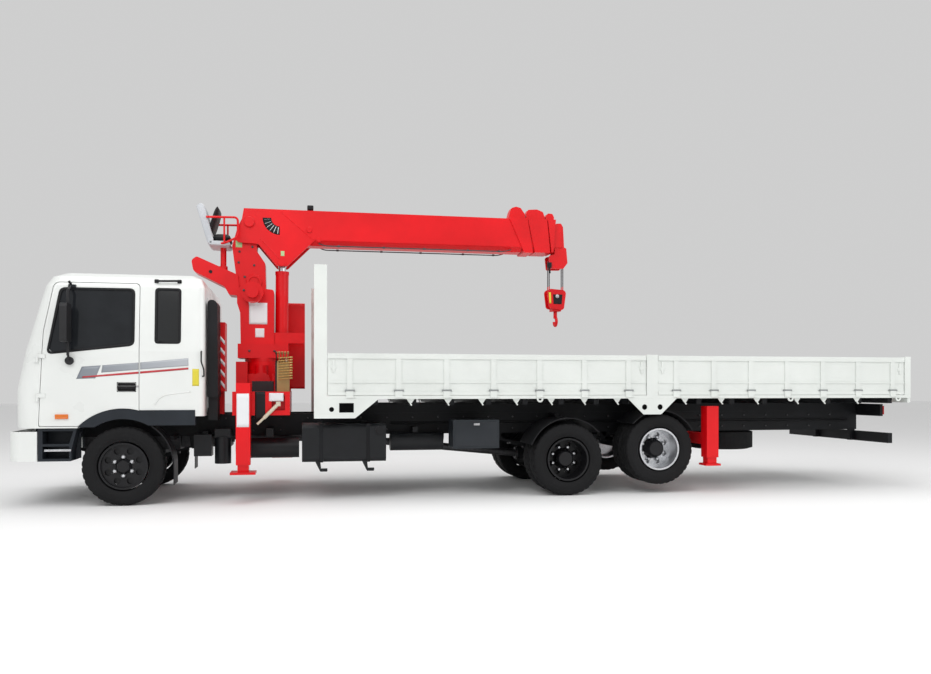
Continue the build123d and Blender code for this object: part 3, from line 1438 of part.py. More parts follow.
def rope_hook(station):
    """A left hook for the sheet's rope: a plate under the floor's edge and a round bar across it."""
    top = BED_FLOOR_BOTTOM
    y = BED_HALF_WIDTH - ROPE_HOOK_INSET
    plate = side_plate(
        [(station - 45, top), (station + 45, top), (station + 14, top - 46, 8), (station - 14, top - 46, 8)],
        y - 8,
        y,
    )
    bar = rod((station - 9, y - 4, top - 36), (station + 9, y + 18, top - 72), 8)
    return plate + bar


def front_gate_stiles():
    """The stations of the front gates' stiles."""
    return [2376 + index * FRONT_STILE_PITCH for index in range(7)]


def rear_gate_stiles():
    """The stations of the rear gates' stiles."""
    return [6213 + index * REAR_STILE_PITCH for index in range(7)]


def tailgate_stiles():
    """The sides of the tailgate's stiles."""
    return [index * 480 for index in range(-2, 3)]


def headboard():
    """The front wall: two tall posts with corner plates, the panel and the rails above it."""
    y0 = BED_HALF_WIDTH - 90
    post = block(BED_FRONT, BED_FRONT + POST_WIDTH - SEAT_GAP, y0, BED_HALF_WIDTH, 917, 2600)
    plate = side_plate(
        [
            (BED_FRONT, 917, 30),
            (2433, 917, 30),
            (2692, BED_FLOOR_BOTTOM - SEAT_GAP),
            (BED_FRONT, BED_FLOOR_BOTTOM - SEAT_GAP),
        ],
        BED_HALF_WIDTH - 12,
        BED_HALF_WIDTH,
    )
    plate = plate - cross_shaft(2178, 1015, 27, BED_HALF_WIDTH - 30, BED_HALF_WIDTH + 10)
    plate = plate - block(2260, 2420, BED_HALF_WIDTH - 30, BED_HALF_WIDTH + 10, 980, 1085)
    half = post + plate
    wall = half + mirrored(half)
    wall = wall + block(BED_FRONT + 60, BED_FRONT + 100, -y0 - 5, y0 + 5, BED_FLOOR_BOTTOM, GATE_TOP)
    for low in (GATE_TOP - 40, 1950, 2340):
        wall = wall + block(BED_FRONT + 40, BED_FRONT + 120, -y0 - 5, y0 + 5, low, low + 60)
    for index in range(-3, 4):
        y = index * 320
        wall = wall + block(BED_FRONT + 60, BED_FRONT + 100, y - 20, y + 20, GATE_TOP, 2345)
    return wall


def bed_posts():
    """The middle posts with their six-sided plates, and the rear corner posts."""
    y0 = BED_HALF_WIDTH - 60
    low = BED_FLOOR_BOTTOM + BED_FLOOR_THICKNESS + SEAT_GAP
    middle = block(MID_POST_STATION, MID_POST_STATION + MID_POST_WIDTH, y0, BED_HALF_WIDTH, low, GATE_TOP + 10)
    centre = MID_POST_STATION + MID_POST_WIDTH / 2
    plate = side_plate(
        [(centre - 305, BED_FLOOR_BOTTOM - SEAT_GAP), (centre - 110, 940, 20), (centre + 110, 940, 20), (centre + 305, BED_FLOOR_BOTTOM - SEAT_GAP)],
        BED_HALF_WIDTH - 12,
        BED_HALF_WIDTH,
    )
    for offset in (-97, 97):
        plate = plate - cross_shaft(centre + offset, 1026, 33, BED_HALF_WIDTH - 30, BED_HALF_WIDTH + 10)
    corner = block(BED_END - REAR_POST_WIDTH, BED_END, y0, BED_HALF_WIDTH, low, GATE_TOP + 10)
    return both_sides(middle) + both_sides(plate) + both_sides(corner)


def side_gate(front, rear, stiles):
    """A left gate with a top rail, a rib and stiles, hinged at its foot."""
    y1 = BED_HALF_WIDTH
    y0 = y1 - GATE_THICKNESS
    low = GATE_BOTTOM
    s0 = front + GATE_GAP
    s1 = rear - GATE_GAP
    panel = block(s0, s1, y0, y1 - 14, low, GATE_TOP)
    panel = panel + block(s0, s1, y0, y1, GATE_TOP - 58, GATE_TOP)
    panel = panel + block(s0, s1, y0, y1 - 4, 1306, 1326)
    panel = panel + block(s0, s1, y0, y1 - 4, low, low + 40)
    axis_side = y1 + HINGE_OUT
    strap_side = axis_side + 2
    for station in stiles:
        near = station - HINGE_HALF
        far = station + HINGE_HALF
        panel = panel + block(station - 30, station + 30, y0, y1 - 2, low, GATE_TOP)
        panel = panel + rod((near, axis_side, HINGE_HEIGHT), (far, axis_side, HINGE_HEIGHT), HINGE_RADIUS)
        panel = panel + block(near, far, strap_side - HINGE_STRAP, strap_side, HINGE_HEIGHT, low + 50)
        panel = panel + block(near, far, y1 - 16, strap_side, low + 10, low + 50)
    return panel


def tailgate():
    """The rear gate between the corner posts."""
    low = GATE_BOTTOM
    y = BED_HALF_WIDTH - 60 - GATE_GAP
    panel = block(BED_END - 32, BED_END - 8, -y, y, low, GATE_TOP)
    panel = panel + block(BED_END - 36, BED_END, -y, y, GATE_TOP - 58, GATE_TOP)
    panel = panel + block(BED_END - 32, BED_END - 4, -y, y, 1306, 1326)
    axis_station = BED_END + HINGE_OUT
    strap_station = axis_station + 2
    for centre in tailgate_stiles():
        near = centre - HINGE_HALF
        far = centre + HINGE_HALF
        panel = panel + block(BED_END - 32, BED_END - 2, centre - 30, centre + 30, low, GATE_TOP)
        panel = panel + rod((axis_station, near, HINGE_HEIGHT), (axis_station, far, HINGE_HEIGHT), HINGE_RADIUS)
        panel = panel + block(strap_station - HINGE_STRAP, strap_station, near, far, HINGE_HEIGHT, low + 50)
        panel = panel + block(BED_END - 20, strap_station, near, far, low + 10, low + 50)
    return panel


def underrun():
    """The under-run bar and the lamp bar across the back, on brackets from the rails."""
    bar = block(FRAME_REAR - 38, FRAME_REAR + 22, -1100, 1100, 556, 683)
    arm = block(FRAME_REAR - 90, FRAME_REAR - 20, FRAME_HALF_WIDTH - 70, FRAME_HALF_WIDTH - 5, 556, FRAME_BOTTOM - SEAT_GAP)
    lamp_bar = block(FRAME_REAR + SEAT_GAP, LAMP_BAR_REAR, -900, 900, 890, 1044)
    return [bar + arm + mirrored(arm), lamp_bar]


def tail_lamps():
    """The lamp clusters on the lamp bar."""
    lamp = block(LAMP_BAR_REAR + SEAT_GAP, LAMP_BAR_REAR + 34, 560, 880, 910, 1020)
    return both_sides(lamp)


def spare_wheel():
    """The spare wheel lying under the rear frame, and the post that holds it."""
    upright_tyre = tyre(0, 0, TYRE_WIDTH / 2)
    upright_rim = turned_ring(rim_profile(TYRE_WIDTH / 2, SPARE_DISC, 50), 0, 0)
    place = Pos(at(SPARE_STATION), 0, SPARE_HEIGHT) * Rot(90, 0, 0) * Pos(-at(0), 0, 0)
    return place * upright_tyre, place * upright_rim


def write_parts():
    """Builds every node and writes it."""
    os.makedirs("parts", exist_ok=True)
    save("frame", frame())
    front_seat = AXLE_HEIGHT - AXLE_DROP + AXLE_BEAM_HEIGHT / 2 + SEAT_GAP
    save(
        "axles",
        front_axle(),
        beam_axle(WHEELBASE, AXLE_HEIGHT, True),
        beam_axle(TAG_STATION, TAG_HEIGHT, False),
        both_sides(leaf_spring(0, front_seat, FRONT_SPRING_HALF, 120)),
        both_sides(leaf_spring(WHEELBASE, AXLE_HEIGHT + HOUSING_RADIUS + SEAT_GAP, REAR_SPRING_HALF, 90)),
        both_sides(leaf_spring(TAG_STATION, TAG_HEIGHT + HOUSING_RADIUS + SEAT_GAP, TAG_SPRING_HALF, 30)),
    )
    save("engine_block", engine(), propshaft())
    save("tanks", fuel_tank(), battery_box(), tool_box(), air_tanks(), muffler(), *left_plant())
    guards = [front_mudguard()] + rear_mudguards()
    save("mudguards", guards, [mirrored(guard) for guard in guards])
    save("entry_steps", both_sides(step_box()))
    save("bumper", bumper())
    save("lamps", both_sides(headlamp()), tail_lamps())
    save("air_intake", air_intake())
    save("underrun_bar", underrun())
    save("spare_wheel", *spare_wheel())
    shell, door = cab()
    save("cab_shell", shell)
    save("door_left", door)
    save("door_right", mirrored(door))
    fixed, pane = window_glass()
    save("cab_glass", fixed)
    save("door_glass_left", pane, mirror_arm())
    save("door_glass_right", mirrored(pane), mirrored(mirror_arm()))
    save("arch_trim", both_sides(arch_trim()))
    save("cab_interior", cab_interior())
    save("knuckle_left", knuckle())
    save("knuckle_right", mirrored(knuckle()))
    front_tyre, front_rim = front_wheel()
    save("front_tyre_left", front_tyre)
    save("front_rim_left", front_rim)
    save("front_tyre_right", mirrored(front_tyre))
    save("front_rim_right", mirrored(front_rim))
    for name, station, height in (("drive", WHEELBASE, AXLE_HEIGHT), ("tag", TAG_STATION, TAG_HEIGHT)):
        tyres, rims = twin_wheel(station, height)
        save(f"{name}_tyres_left", tyres)
        save(f"{name}_rims_left", rims)
        save(f"{name}_tyres_right", [mirrored(one) for one in tyres])
        save(f"{name}_rims_right", mirrored(rims))
    save("crane_base", crane_base())
    save("rear_outrigger", rear_outrigger())
    save("outrigger_beam_left", outrigger_beam(FRONT_BEAM_STATION))
    save("outrigger_beam_right", mirrored(outrigger_beam(REAR_BEAM_STATION)))
    save("front_jack_left", jack(FRONT_BEAM_STATION, FOOT_HEIGHT, LEG_TOP, 133))
    save("front_jack_right", mirrored(jack(REAR_BEAM_STATION, FOOT_HEIGHT, LEG_TOP, 133)))
    save("rear_jack_left", jack(REAR_LEG_STATION, FOOT_HEIGHT, REAR_LEG_TOP, 95))
    save("rear_jack_right", mirrored(jack(REAR_LEG_STATION, FOOT_HEIGHT, REAR_LEG_TOP, 95)))
    save("valve_bank", valve_bank())
    save("oil_tank", oil_tank(), striped_guard())
    save("column", column() + seat_arm(), winch())
    save("top_seat", top_seat())
    save("boom_base", boom_base())
    save("boom_second", boom_inner(1, SECOND_MOUTH, 1560, SECOND_COLLAR))
    save("boom_third", boom_inner(2, THIRD_MOUTH, 1680, THIRD_COLLAR))
    save("boom_head", boom_head(), sheaves())
    save("luff_barrel", luff_barrel())
    save("luff_rod", luff_rod())
    save("hook_block", hook_block(), ropes())
    save("bed_frame", bed_frame())
    save("bed_floor", bed_floor())
    save("headboard", headboard(), bed_posts())
    front_gate = side_gate(BED_FRONT + POST_WIDTH, MID_POST_STATION, front_gate_stiles())
    rear_gate = side_gate(MID_POST_STATION + MID_POST_WIDTH, BED_END - REAR_POST_WIDTH, rear_gate_stiles())
    save("front_gate_left", front_gate)
    save("front_gate_right", mirrored(front_gate))
    save("rear_gate_left", rear_gate)
    save("rear_gate_right", mirrored(rear_gate))
    save("tailgate", tailgate())


write_parts()
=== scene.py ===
import json
from math import cos, pi, radians, sin

import bmesh
import bpy
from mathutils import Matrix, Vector
from mathutils.bvhtree import BVHTree


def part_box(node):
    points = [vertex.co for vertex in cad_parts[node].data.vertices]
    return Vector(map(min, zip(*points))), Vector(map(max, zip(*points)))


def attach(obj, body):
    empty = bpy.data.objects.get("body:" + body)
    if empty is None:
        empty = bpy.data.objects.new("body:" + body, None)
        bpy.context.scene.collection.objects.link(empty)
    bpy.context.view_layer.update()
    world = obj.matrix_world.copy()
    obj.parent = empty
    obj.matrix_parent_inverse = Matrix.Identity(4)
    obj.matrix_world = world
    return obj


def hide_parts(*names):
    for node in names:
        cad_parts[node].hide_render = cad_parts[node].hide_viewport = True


# The truck with its crane, dressed for the picture
# All lengths are in metres, in the CAD model's frame: X forward, Y to the left, Z up

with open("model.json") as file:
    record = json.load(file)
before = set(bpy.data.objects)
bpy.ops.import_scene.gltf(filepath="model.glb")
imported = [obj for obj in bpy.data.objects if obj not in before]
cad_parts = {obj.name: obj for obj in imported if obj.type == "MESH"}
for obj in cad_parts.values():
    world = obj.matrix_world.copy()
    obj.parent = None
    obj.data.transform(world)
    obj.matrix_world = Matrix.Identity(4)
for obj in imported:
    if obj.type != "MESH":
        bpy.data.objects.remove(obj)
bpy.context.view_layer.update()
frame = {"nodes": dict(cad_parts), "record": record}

# Values for the whole scene; sheets lie a hair off the skin they follow
FRONT_AXLE_X = 4.105
SIDES = ((1, "left"), (-1, "right"))
SIDE_REACH = 2.2
NEAR_REACH = 1.2
SKIN_LIFT = 0.0015
RAISED_LIFT = 0.003
SHEET_DEPTH = 0.001
NEAR_AXIS = 0.0005
SHARP_ANGLE = 35

# The photograph's camera, and the studio
CAMERA_STATION = 1.842
CAMERA_SIDE = 10.6
CAMERA_HEIGHT = 1.25
CAMERA_TURN = 11
CAMERA_LENS = 32.87
CAMERA_SENSOR = 36
CAMERA_SHIFT = 0.0548
FLOOR_HALF = 60
SURROUND = 0.62
LIGHTS = [("key", (6, 9, 9), (0, 0, 1), 8, 560)]
LIGHTS += [("fill", (-8, 8, 6), (-1, 0, 1), 8, 300)]
LIGHTS += [("top", (0, 0, 11), (0, 0, 0), 10, 450)]


def at(station):
    """The X of a station behind the front axle, in metres."""
    return FRONT_AXLE_X - station


# Materials


def new_material(name):
    """A new material with its nodes, its links and its shader."""
    material = bpy.data.materials.new(name)
    material.use_nodes = True
    nodes = material.node_tree.nodes
    shader = nodes["Principled BSDF"]
    return material, nodes, material.node_tree.links, shader


def object_noise(nodes, links, scale, detail=4.0):
    """Noise that sticks to the object, at a scale per metre."""
    coordinates = nodes.new("ShaderNodeTexCoord")
    noise = nodes.new("ShaderNodeTexNoise")
    noise.inputs["Scale"].default_value = scale
    noise.inputs["Detail"].default_value = detail
    links.new(coordinates.outputs["Object"], noise.inputs["Vector"])
    return noise.outputs["Fac"]


def ramp(nodes, links, source, low, high, start=0.3, end=0.7):
    """A colour that goes from low to high with a source value."""
    blend = nodes.new("ShaderNodeValToRGB")
    blend.color_ramp.elements[0].position = start
    blend.color_ramp.elements[0].color = (*low, 1)
    blend.color_ramp.elements[1].position = end
    blend.color_ramp.elements[1].color = (*high, 1)
    links.new(source, blend.inputs["Fac"])
    return blend.outputs["Color"]


def bump(nodes, links, source, shader, strength, distance):
    """A bump from a source value."""
    relief = nodes.new("ShaderNodeBump")
    relief.inputs["Strength"].default_value = strength
    relief.inputs["Distance"].default_value = distance
    links.new(source, relief.inputs["Height"])
    links.new(relief.outputs["Normal"], shader.inputs["Normal"])


def vary(nodes, links, source, socket, low, high):
    """Makes an input vary between two values with a source value."""
    span = nodes.new("ShaderNodeMapRange")
    span.inputs["To Min"].default_value = low
    span.inputs["To Max"].default_value = high
    links.new(source, span.inputs["Value"])
    links.new(span.outputs["Result"], socket)


def tint(nodes, links, shader, shade, colour, scale, detail=4.0):
    """Gives a shader a slow change of tone, and returns the noise that drives it."""
    tone = object_noise(nodes, links, scale, detail)
    links.new(ramp(nodes, links, tone, shade, colour), shader.inputs["Base Color"])
    return tone


def paint(name, colour, shade, roughness=0.28, coat=0.5, ripple=0.02, gleam=0.5):
    """Coach paint: a slow change of tone, a fine orange peel and a clear coat."""
    material, nodes, links, shader = new_material(name)
    tone = tint(nodes, links, shader, shade, colour, 1.7)
    peel = object_noise(nodes, links, 160, 2)
    bump(nodes, links, peel, shader, ripple, 0.002)
    vary(nodes, links, tone, shader.inputs["Roughness"], roughness - 0.05, roughness + 0.08)
    shader.inputs["Coat Weight"].default_value = coat
    shader.inputs["Coat Roughness"].default_value = 0.12
    shader.inputs["Specular IOR Level"].default_value = gleam
    return material


def metal(name, colour, shade, roughness=0.4, grain=60):
    """Bare or plated metal with a fine grain."""
    material, nodes, links, shader = new_material(name)
    tone = tint(nodes, links, shader, shade, colour, grain, 3)
    vary(nodes, links, tone, shader.inputs["Roughness"], roughness - 0.1, roughness + 0.12)
    bump(nodes, links, tone, shader, 0.08, 0.001)
    shader.inputs["Metallic"].default_value = 1.0
    return material


def moulded(name, colour, shade, roughness=0.6, grain=220, relief=0.15, gleam=0.25):
    """Moulded plastic or rubber with a leathery grain."""
    material, nodes, links, shader = new_material(name)
    tone = tint(nodes, links, shader, shade, colour, 3)
    fine = object_noise(nodes, links, grain, 2)
    bump(nodes, links, fine, shader, relief, 0.002)
    vary(nodes, links, tone, shader.inputs["Roughness"], roughness - 0.08, roughness + 0.1)
    shader.inputs["Specular IOR Level"].default_value = gleam
    return material


def tinted_glass(name):
    """Dark tinted glass with a faint change of tone."""
    material, nodes, links, shader = new_material(name)
    tint(nodes, links, shader, (0.005, 0.006, 0.007), (0.011, 0.012, 0.013), 0.9, 1)
    shader.inputs["Roughness"].default_value = 0.08
    shader.inputs["Coat Weight"].default_value = 0.2
    return material


def along(nodes, links, axis, low, high):
    """A value that goes from 0 to 1 along an axis of the object, between two places."""
    coordinates = nodes.new("ShaderNodeTexCoord")
    split = nodes.new("ShaderNodeSeparateXYZ")
    span = nodes.new("ShaderNodeMapRange")
    span.inputs["From Min"].default_value = low
    span.inputs["From Max"].default_value = high
    links.new(coordinates.outputs["Object"], split.inputs["Vector"])
    links.new(split.outputs[axis], span.inputs["Value"])
    return span.outputs["Result"]


def split_finish(name, axis, place, below, above, rough_below, rough_above, metallic=(0, 0)):
    """Two finishes on one object, which change at a place along an axis."""
    material, nodes, links, shader = new_material(name)
    side = along(nodes, links, axis, place, place + 0.001)
    tone = object_noise(nodes, links, 6)
    first = ramp(nodes, links, tone, [0.75 * part for part in below], below)
    second = ramp(nodes, links, tone, [0.75 * part for part in above], above)
    mix = nodes.new("ShaderNodeMix")
    mix.data_type = "RGBA"
    links.new(side, mix.inputs["Factor"])
    links.new(first, mix.inputs["A"])
    links.new(second, mix.inputs["B"])
    links.new(mix.outputs["Result"], shader.inputs["Base Color"])
    vary(nodes, links, side, shader.inputs["Roughness"], rough_below, rough_above)
    vary(nodes, links, side, shader.inputs["Metallic"], *metallic)
    shader.inputs["Specular IOR Level"].default_value = 0.3
    fine = object_noise(nodes, links, 180, 2)
    bump(nodes, links, fine, shader, 0.06, 0.002)
    return material


def faded_stripe(name):
    """The cab's grey stripe, darker towards the front."""
    material, nodes, links, shader = new_material(name)
    place = along(nodes, links, "X", at(0.67), at(-0.46))
    blend = ramp(nodes, links, place, (0.44, 0.46, 0.49), (0.2, 0.22, 0.25), 0.0, 1.0)
    links.new(blend, shader.inputs["Base Color"])
    tone = object_noise(nodes, links, 12)
    vary(nodes, links, tone, shader.inputs["Roughness"], 0.25, 0.4)
    return material


WHITE = paint("white_paint", (0.79, 0.81, 0.79), (0.74, 0.76, 0.74))
BED_WHITE = paint("bed_white_paint", (0.75, 0.78, 0.75), (0.67, 0.7, 0.67), 0.4, 0.2, 0.05)
RED = paint("red_paint", (0.78, 0.001, 0.006), (0.62, 0.001, 0.004), 0.4, 0.12, 0.02, 0.3)
BLACK = paint("black_chassis_paint", (0.009, 0.01, 0.012), (0.005, 0.005, 0.006), 0.5, 0.0, 0.08, 0.2)
SLATE = paint("slate_paint", (0.02, 0.024, 0.03), (0.013, 0.016, 0.02), 0.4, 0.1, 0.06, 0.3)
TRIM = moulded("dark_trim", (0.02, 0.025, 0.032), (0.014, 0.017, 0.022), 0.5)
PLASTIC = moulded("black_plastic", (0.01, 0.01, 0.012), (0.006, 0.006, 0.007), 0.5)
RUBBER = moulded("tyre_rubber", (0.009, 0.009, 0.01), (0.005, 0.005, 0.0055), 0.75, 140, 0.3)
RIM_BLACK = paint("rim_black", (0.01, 0.01, 0.012), (0.006, 0.006, 0.007), 0.4, 0.1, 0.04, 0.25)
SILVER = metal("silver_rim", (0.72, 0.73, 0.75), (0.5, 0.51, 0.53), 0.34)
STEEL = metal("bare_steel", (0.55, 0.55, 0.56), (0.36, 0.36, 0.37), 0.4)
IRON = metal("cast_iron", (0.12, 0.12, 0.125), (0.07, 0.07, 0.075), 0.6, 30)
GREY = paint("weathered_grey", (0.3, 0.32, 0.32), (0.2, 0.21, 0.21), 0.5, 0.0, 0.05)
BRASS = metal("brass", (0.7, 0.5, 0.2), (0.46, 0.32, 0.12), 0.38)
INTERIOR = moulded("cab_lining", (0.05, 0.05, 0.052), (0.03, 0.03, 0.032), 0.7)
GLASS = tinted_glass("tinted_glass")
STRIPE = faded_stripe("grey_stripe")
STRIPE_RED = paint("red_stripe", (0.5, 0.01, 0.02), (0.42, 0.006, 0.014), 0.3, 0.2)
LABEL = paint("blank_white_label", (0.82, 0.83, 0.84), (0.72, 0.73, 0.75), 0.5, 0.0, 0.03)
GREEN = paint("blank_green_label", (0.45, 0.62, 0.3), (0.34, 0.5, 0.22), 0.5, 0.0, 0.03)
YELLOW = paint("blank_yellow_label", (0.72, 0.62, 0.05), (0.62, 0.52, 0.03), 0.5, 0.0, 0.03)
CREAM = paint("cream_paint", (0.68, 0.64, 0.5), (0.56, 0.52, 0.4), 0.4, 0.2)
AMBER = paint("amber_lens", (0.78, 0.2, 0.01), (0.62, 0.12, 0.005), 0.15, 0.8, 0.1)
SEAT_SHELL = moulded("seat_shell", (0.6, 0.62, 0.65), (0.48, 0.5, 0.53), 0.45)
VINYL = moulded("black_vinyl", (0.022, 0.022, 0.024), (0.013, 0.013, 0.014), 0.5, 90, 0.35)
LAMPS = split_finish("lamp_lenses", "X", -4.0, (0.5, 0.01, 0.01), (0.6, 0.62, 0.65), 0.15, 0.08)
MIRROR_SIDE = 1.092
PANE_DARK = (0.016, 0.018, 0.021)
MIRROR_DARK = (0.02, 0.02, 0.022)
HOOK_COLOURS = ((0.72, 0.001, 0.006), (0.16, 0.16, 0.17))
TANK_COLOURS = ((0.022, 0.027, 0.033), (0.008, 0.009, 0.011))
ROD_COLOURS = ((0.7, 0.71, 0.73), (0.5, 0.004, 0.008))
VALVE_COLOURS = ((0.5, 0.36, 0.16), (0.03, 0.028, 0.03))
HOOK_RED = split_finish("hook_block_and_ropes", "Z", 2.56, *HOOK_COLOURS, 0.4, 0.5, (0, 0.8))
TANK_BLACK = split_finish("tank_and_box", "X", at(3.54), *TANK_COLOURS, 0.35, 0.4)
ROD = split_finish("rod_and_eye", "Z", 2.745, *ROD_COLOURS, 0.2, 0.4, (1, 0))
VALVES = split_finish("valves_and_oil_motor", "X", at(1.58), *VALVE_COLOURS, 0.4, 0.5, (0.8, 0.3))
PANE_LEFT = split_finish("pane_and_mirror_left", "Y", MIRROR_SIDE, PANE_DARK, MIRROR_DARK, 0.06, 0.5)
PANE_RIGHT = split_finish("pane_and_mirror_right", "Y", -MIRROR_SIDE, MIRROR_DARK, PANE_DARK, 0.5, 0.06)

NODE_MATERIALS = {
    "frame": BLACK,
    "axles": BLACK,
    "mudguards": PLASTIC,
    "spare_wheel": RUBBER,
    "underrun_bar": BLACK,
    "bed_frame": BLACK,
    "tanks": TANK_BLACK,
    "engine_block": IRON,
    "entry_steps": TRIM,
    "bumper": WHITE,
    "cab_shell": WHITE,
    "bed_floor": BED_WHITE,
    "headboard": BED_WHITE,
    "tailgate": BED_WHITE,
    "lamps": LAMPS,
    "air_intake": PLASTIC,
    "arch_trim": TRIM,
    "cab_glass": GLASS,
    "cab_interior": INTERIOR,
    "luff_rod": ROD,
    "valve_bank": VALVES,
    "hook_block": HOOK_RED,
    "door_glass_left": PANE_LEFT,
    "door_glass_right": PANE_RIGHT,
}
for side, word in SIDES:
    NODE_MATERIALS[f"door_{word}"] = WHITE
    NODE_MATERIALS[f"knuckle_{word}"] = BLACK
    NODE_MATERIALS[f"front_rim_{word}"] = RIM_BLACK
    NODE_MATERIALS[f"drive_rims_{word}"] = RIM_BLACK
    NODE_MATERIALS[f"tag_rims_{word}"] = SILVER
    NODE_MATERIALS[f"front_gate_{word}"] = BED_WHITE
    NODE_MATERIALS[f"rear_gate_{word}"] = BED_WHITE


def dress_nodes():
    """Gives each CAD node its finish; the crane's nodes are red."""
    for name, node in frame["nodes"].items():
        finish = NODE_MATERIALS.get(name, RED)
        node.data.materials.clear()
        node.data.materials.append(finish)


# Forms


def add_object(name, data):
    """An object of some data, in the scene."""
    made = bpy.data.objects.new(name, data)
    bpy.context.scene.collection.objects.link(made)
    return made


def add_piece(name, form, finish, body, replaced=()):
    """Makes a piece of a form, gives it its finish, and lets it ride on a body."""
    bmesh.ops.recalc_face_normals(form, faces=form.faces)
    mesh = bpy.data.meshes.new(name)
    form.to_mesh(mesh)
    form.free()
    for face in mesh.polygons:
        face.use_smooth = True
    piece = add_object(name, mesh)
    mesh.set_sharp_from_angle(angle=radians(SHARP_ANGLE))
    mesh.materials.append(finish)
    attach(piece, body)
    if replaced:
        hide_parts(*replaced)
    return piece


def add_block(form, low, high, edge):
    """A box with rounded edges between two corners."""
    made = bmesh.ops.create_cube(form, size=1)["verts"]
    for vertex in made:
        place = [low[k] + (vertex.co[k] + 0.5) * (high[k] - low[k]) for k in range(3)]
        vertex.co = place
    edges = list({one for vertex in made for one in vertex.link_edges})
    bmesh.ops.bevel(form, geom=edges, offset=edge, segments=2, affect="EDGES", profile=0.6)


def station_block(form, s0, s1, y0, y1, z0, z1, edge):
    """A rounded box between two stations, two sides and two heights."""
    low = (min(at(s0), at(s1)), min(y0, y1), min(z0, z1))
    high = (max(at(s0), at(s1)), max(y0, y1), max(z0, z1))
    add_block(form, low, high, edge)


def side_block(form, station, depth, side, block, edge):
    """A rounded box on one side, with its stations and sides measured from a station and a depth."""
    front, rear, inner, outer, low, high = block
    near = depth + side * inner
    far = depth + side * outer
    station_block(form, station + front, station + rear, near, far, low, high, edge)


def add_lathe(form, profile, station, height, segments, notch=None):
    """A form turned about an axis across the truck, from pairs of side and radius; a notch lowers a point."""
    rings = []
    for index in range(segments):
        angle = 2 * pi * index / segments
        ring = []
        for number, (side, radius) in enumerate(profile):
            reach = radius - (notch(index, number) if notch else 0)
            place = (at(station) + reach * cos(angle), side, height + reach * sin(angle))
            ring.append(form.verts.new(place))
        rings.append(ring)
    count = len(profile)
    for index in range(segments):
        ring = rings[index]
        after = rings[(index + 1) % segments]
        for number in range(count):
            follow = (number + 1) % count
            form.faces.new((ring[number], ring[follow], after[follow], after[number]))


def close_rings(form, rings):
    """Joins rings of points into a skin, and closes both its ends."""
    for ring, after in zip(rings, rings[1:]):
        for step in range(len(ring)):
            follow = (step + 1) % len(ring)
            form.faces.new((ring[step], ring[follow], after[follow], after[step]))
    form.faces.new(rings[0])
    form.faces.new(list(reversed(rings[-1])))


def add_tube(form, points, radius, segments=12):
    """A bar of round section through points, with closed ends."""
    path = [Vector(point) for point in points]
    rings = []
    normal = None
    for index, point in enumerate(path):
        before = path[max(index - 1, 0)]
        after = path[min(index + 1, len(path) - 1)]
        heading = (after - before).normalized()
        if normal is None:
            normal = heading.orthogonal().normalized()
        normal = (normal - heading * normal.dot(heading)).normalized()
        across = heading.cross(normal)
        ring = []
        for step in range(segments):
            angle = 2 * pi * step / segments
            ring.append(form.verts.new(point + radius * (cos(angle) * normal + sin(angle) * across)))
        rings.append(ring)
    close_rings(form, rings)


def station_tube(form, points, radius, segments=12):
    """A round bar through points given as station, side and height."""
    add_tube(form, [(at(s), y, z) for s, y, z in points], radius, segments)


def side_path(points, side, root=0):
    """Places on one side, from stations, depths that count outwards from a root, and heights."""
    return [(at(station), root + side * depth, height) for station, depth, height in points]


def corner_curve(before, corner, after, radius, steps):
    """The points of a curve that rounds a corner."""
    start = corner + (before - corner).normalized() * radius
    end = corner + (after - corner).normalized() * radius
    curve = []
    for step in range(steps + 1):
        share = step / steps
        curve.append((1 - share) ** 2 * start + 2 * share * (1 - share) * corner + share**2 * end)
    return curve


def rounded_path(points, radius, steps=5):
    """The points of a bent tube: each corner becomes a curve."""
    path = [Vector(point) for point in points]
    result = [path[0]]
    for before, corner, after in zip(path, path[1:], path[2:]):
        result += corner_curve(before, corner, after, radius, steps)
    result.append(path[-1])
    return [tuple(point) for point in result]


def add_nut(form, centre, axis, radius, length):
    """A six-sided nut with a domed end, standing on a point along an axis."""
    heading = Vector(axis).normalized()
    normal = heading.orthogonal().normalized()
    across = heading.cross(normal)
    rings = []
    for share, reach in ((-0.3, radius), (0.7, radius), (0.85, 0.86 * radius), (1.0, 0.5 * radius)):
        ring = []
        for step in range(6):
            angle = pi * step / 3
            spoke = cos(angle) * normal + sin(angle) * across
            place = Vector(centre) + share * length * heading + reach * spoke
            ring.append(form.verts.new(place))
        rings.append(ring)
    close_rings(form, rings)


def side_nut(form, skin, place, side, size, probe=None):
    """A nut on a side surface, at a station and height; a probe is where the depth is taken."""
    depth = side_surface(skin, *(probe or place), side)
    add_nut(form, (at(place[0]), depth, place[1]), (0, side, 0), *size)


def skin_of(*names):
    """The surfaces of some CAD nodes, to lay things on."""
    form = bmesh.new()
    for name in names:
        form.from_mesh(frame["nodes"][name].data)
    tree = BVHTree.FromBMesh(form)
    form.free()
    return tree


def side_surface(skin, station, height, side):
    """The side where a surface lies, looked for from outside; in a gap the nearest surface counts."""
    start = Vector((at(station), side * SIDE_REACH, height))
    hit = skin.ray_cast(start, Vector((0, -side, 0)), SIDE_REACH)
    if hit[0] is None:
        hit = skin.find_nearest(Vector((at(station), side * NEAR_REACH, height)))
    return hit[0].y


def join_lines(form, lines):
    """Fills the strips between lines that have as many points."""
    for line, after in zip(lines, lines[1:]):
        for one in range(len(line) - 1):
            form.faces.new((line[one], line[one + 1], after[one + 1], after[one]))


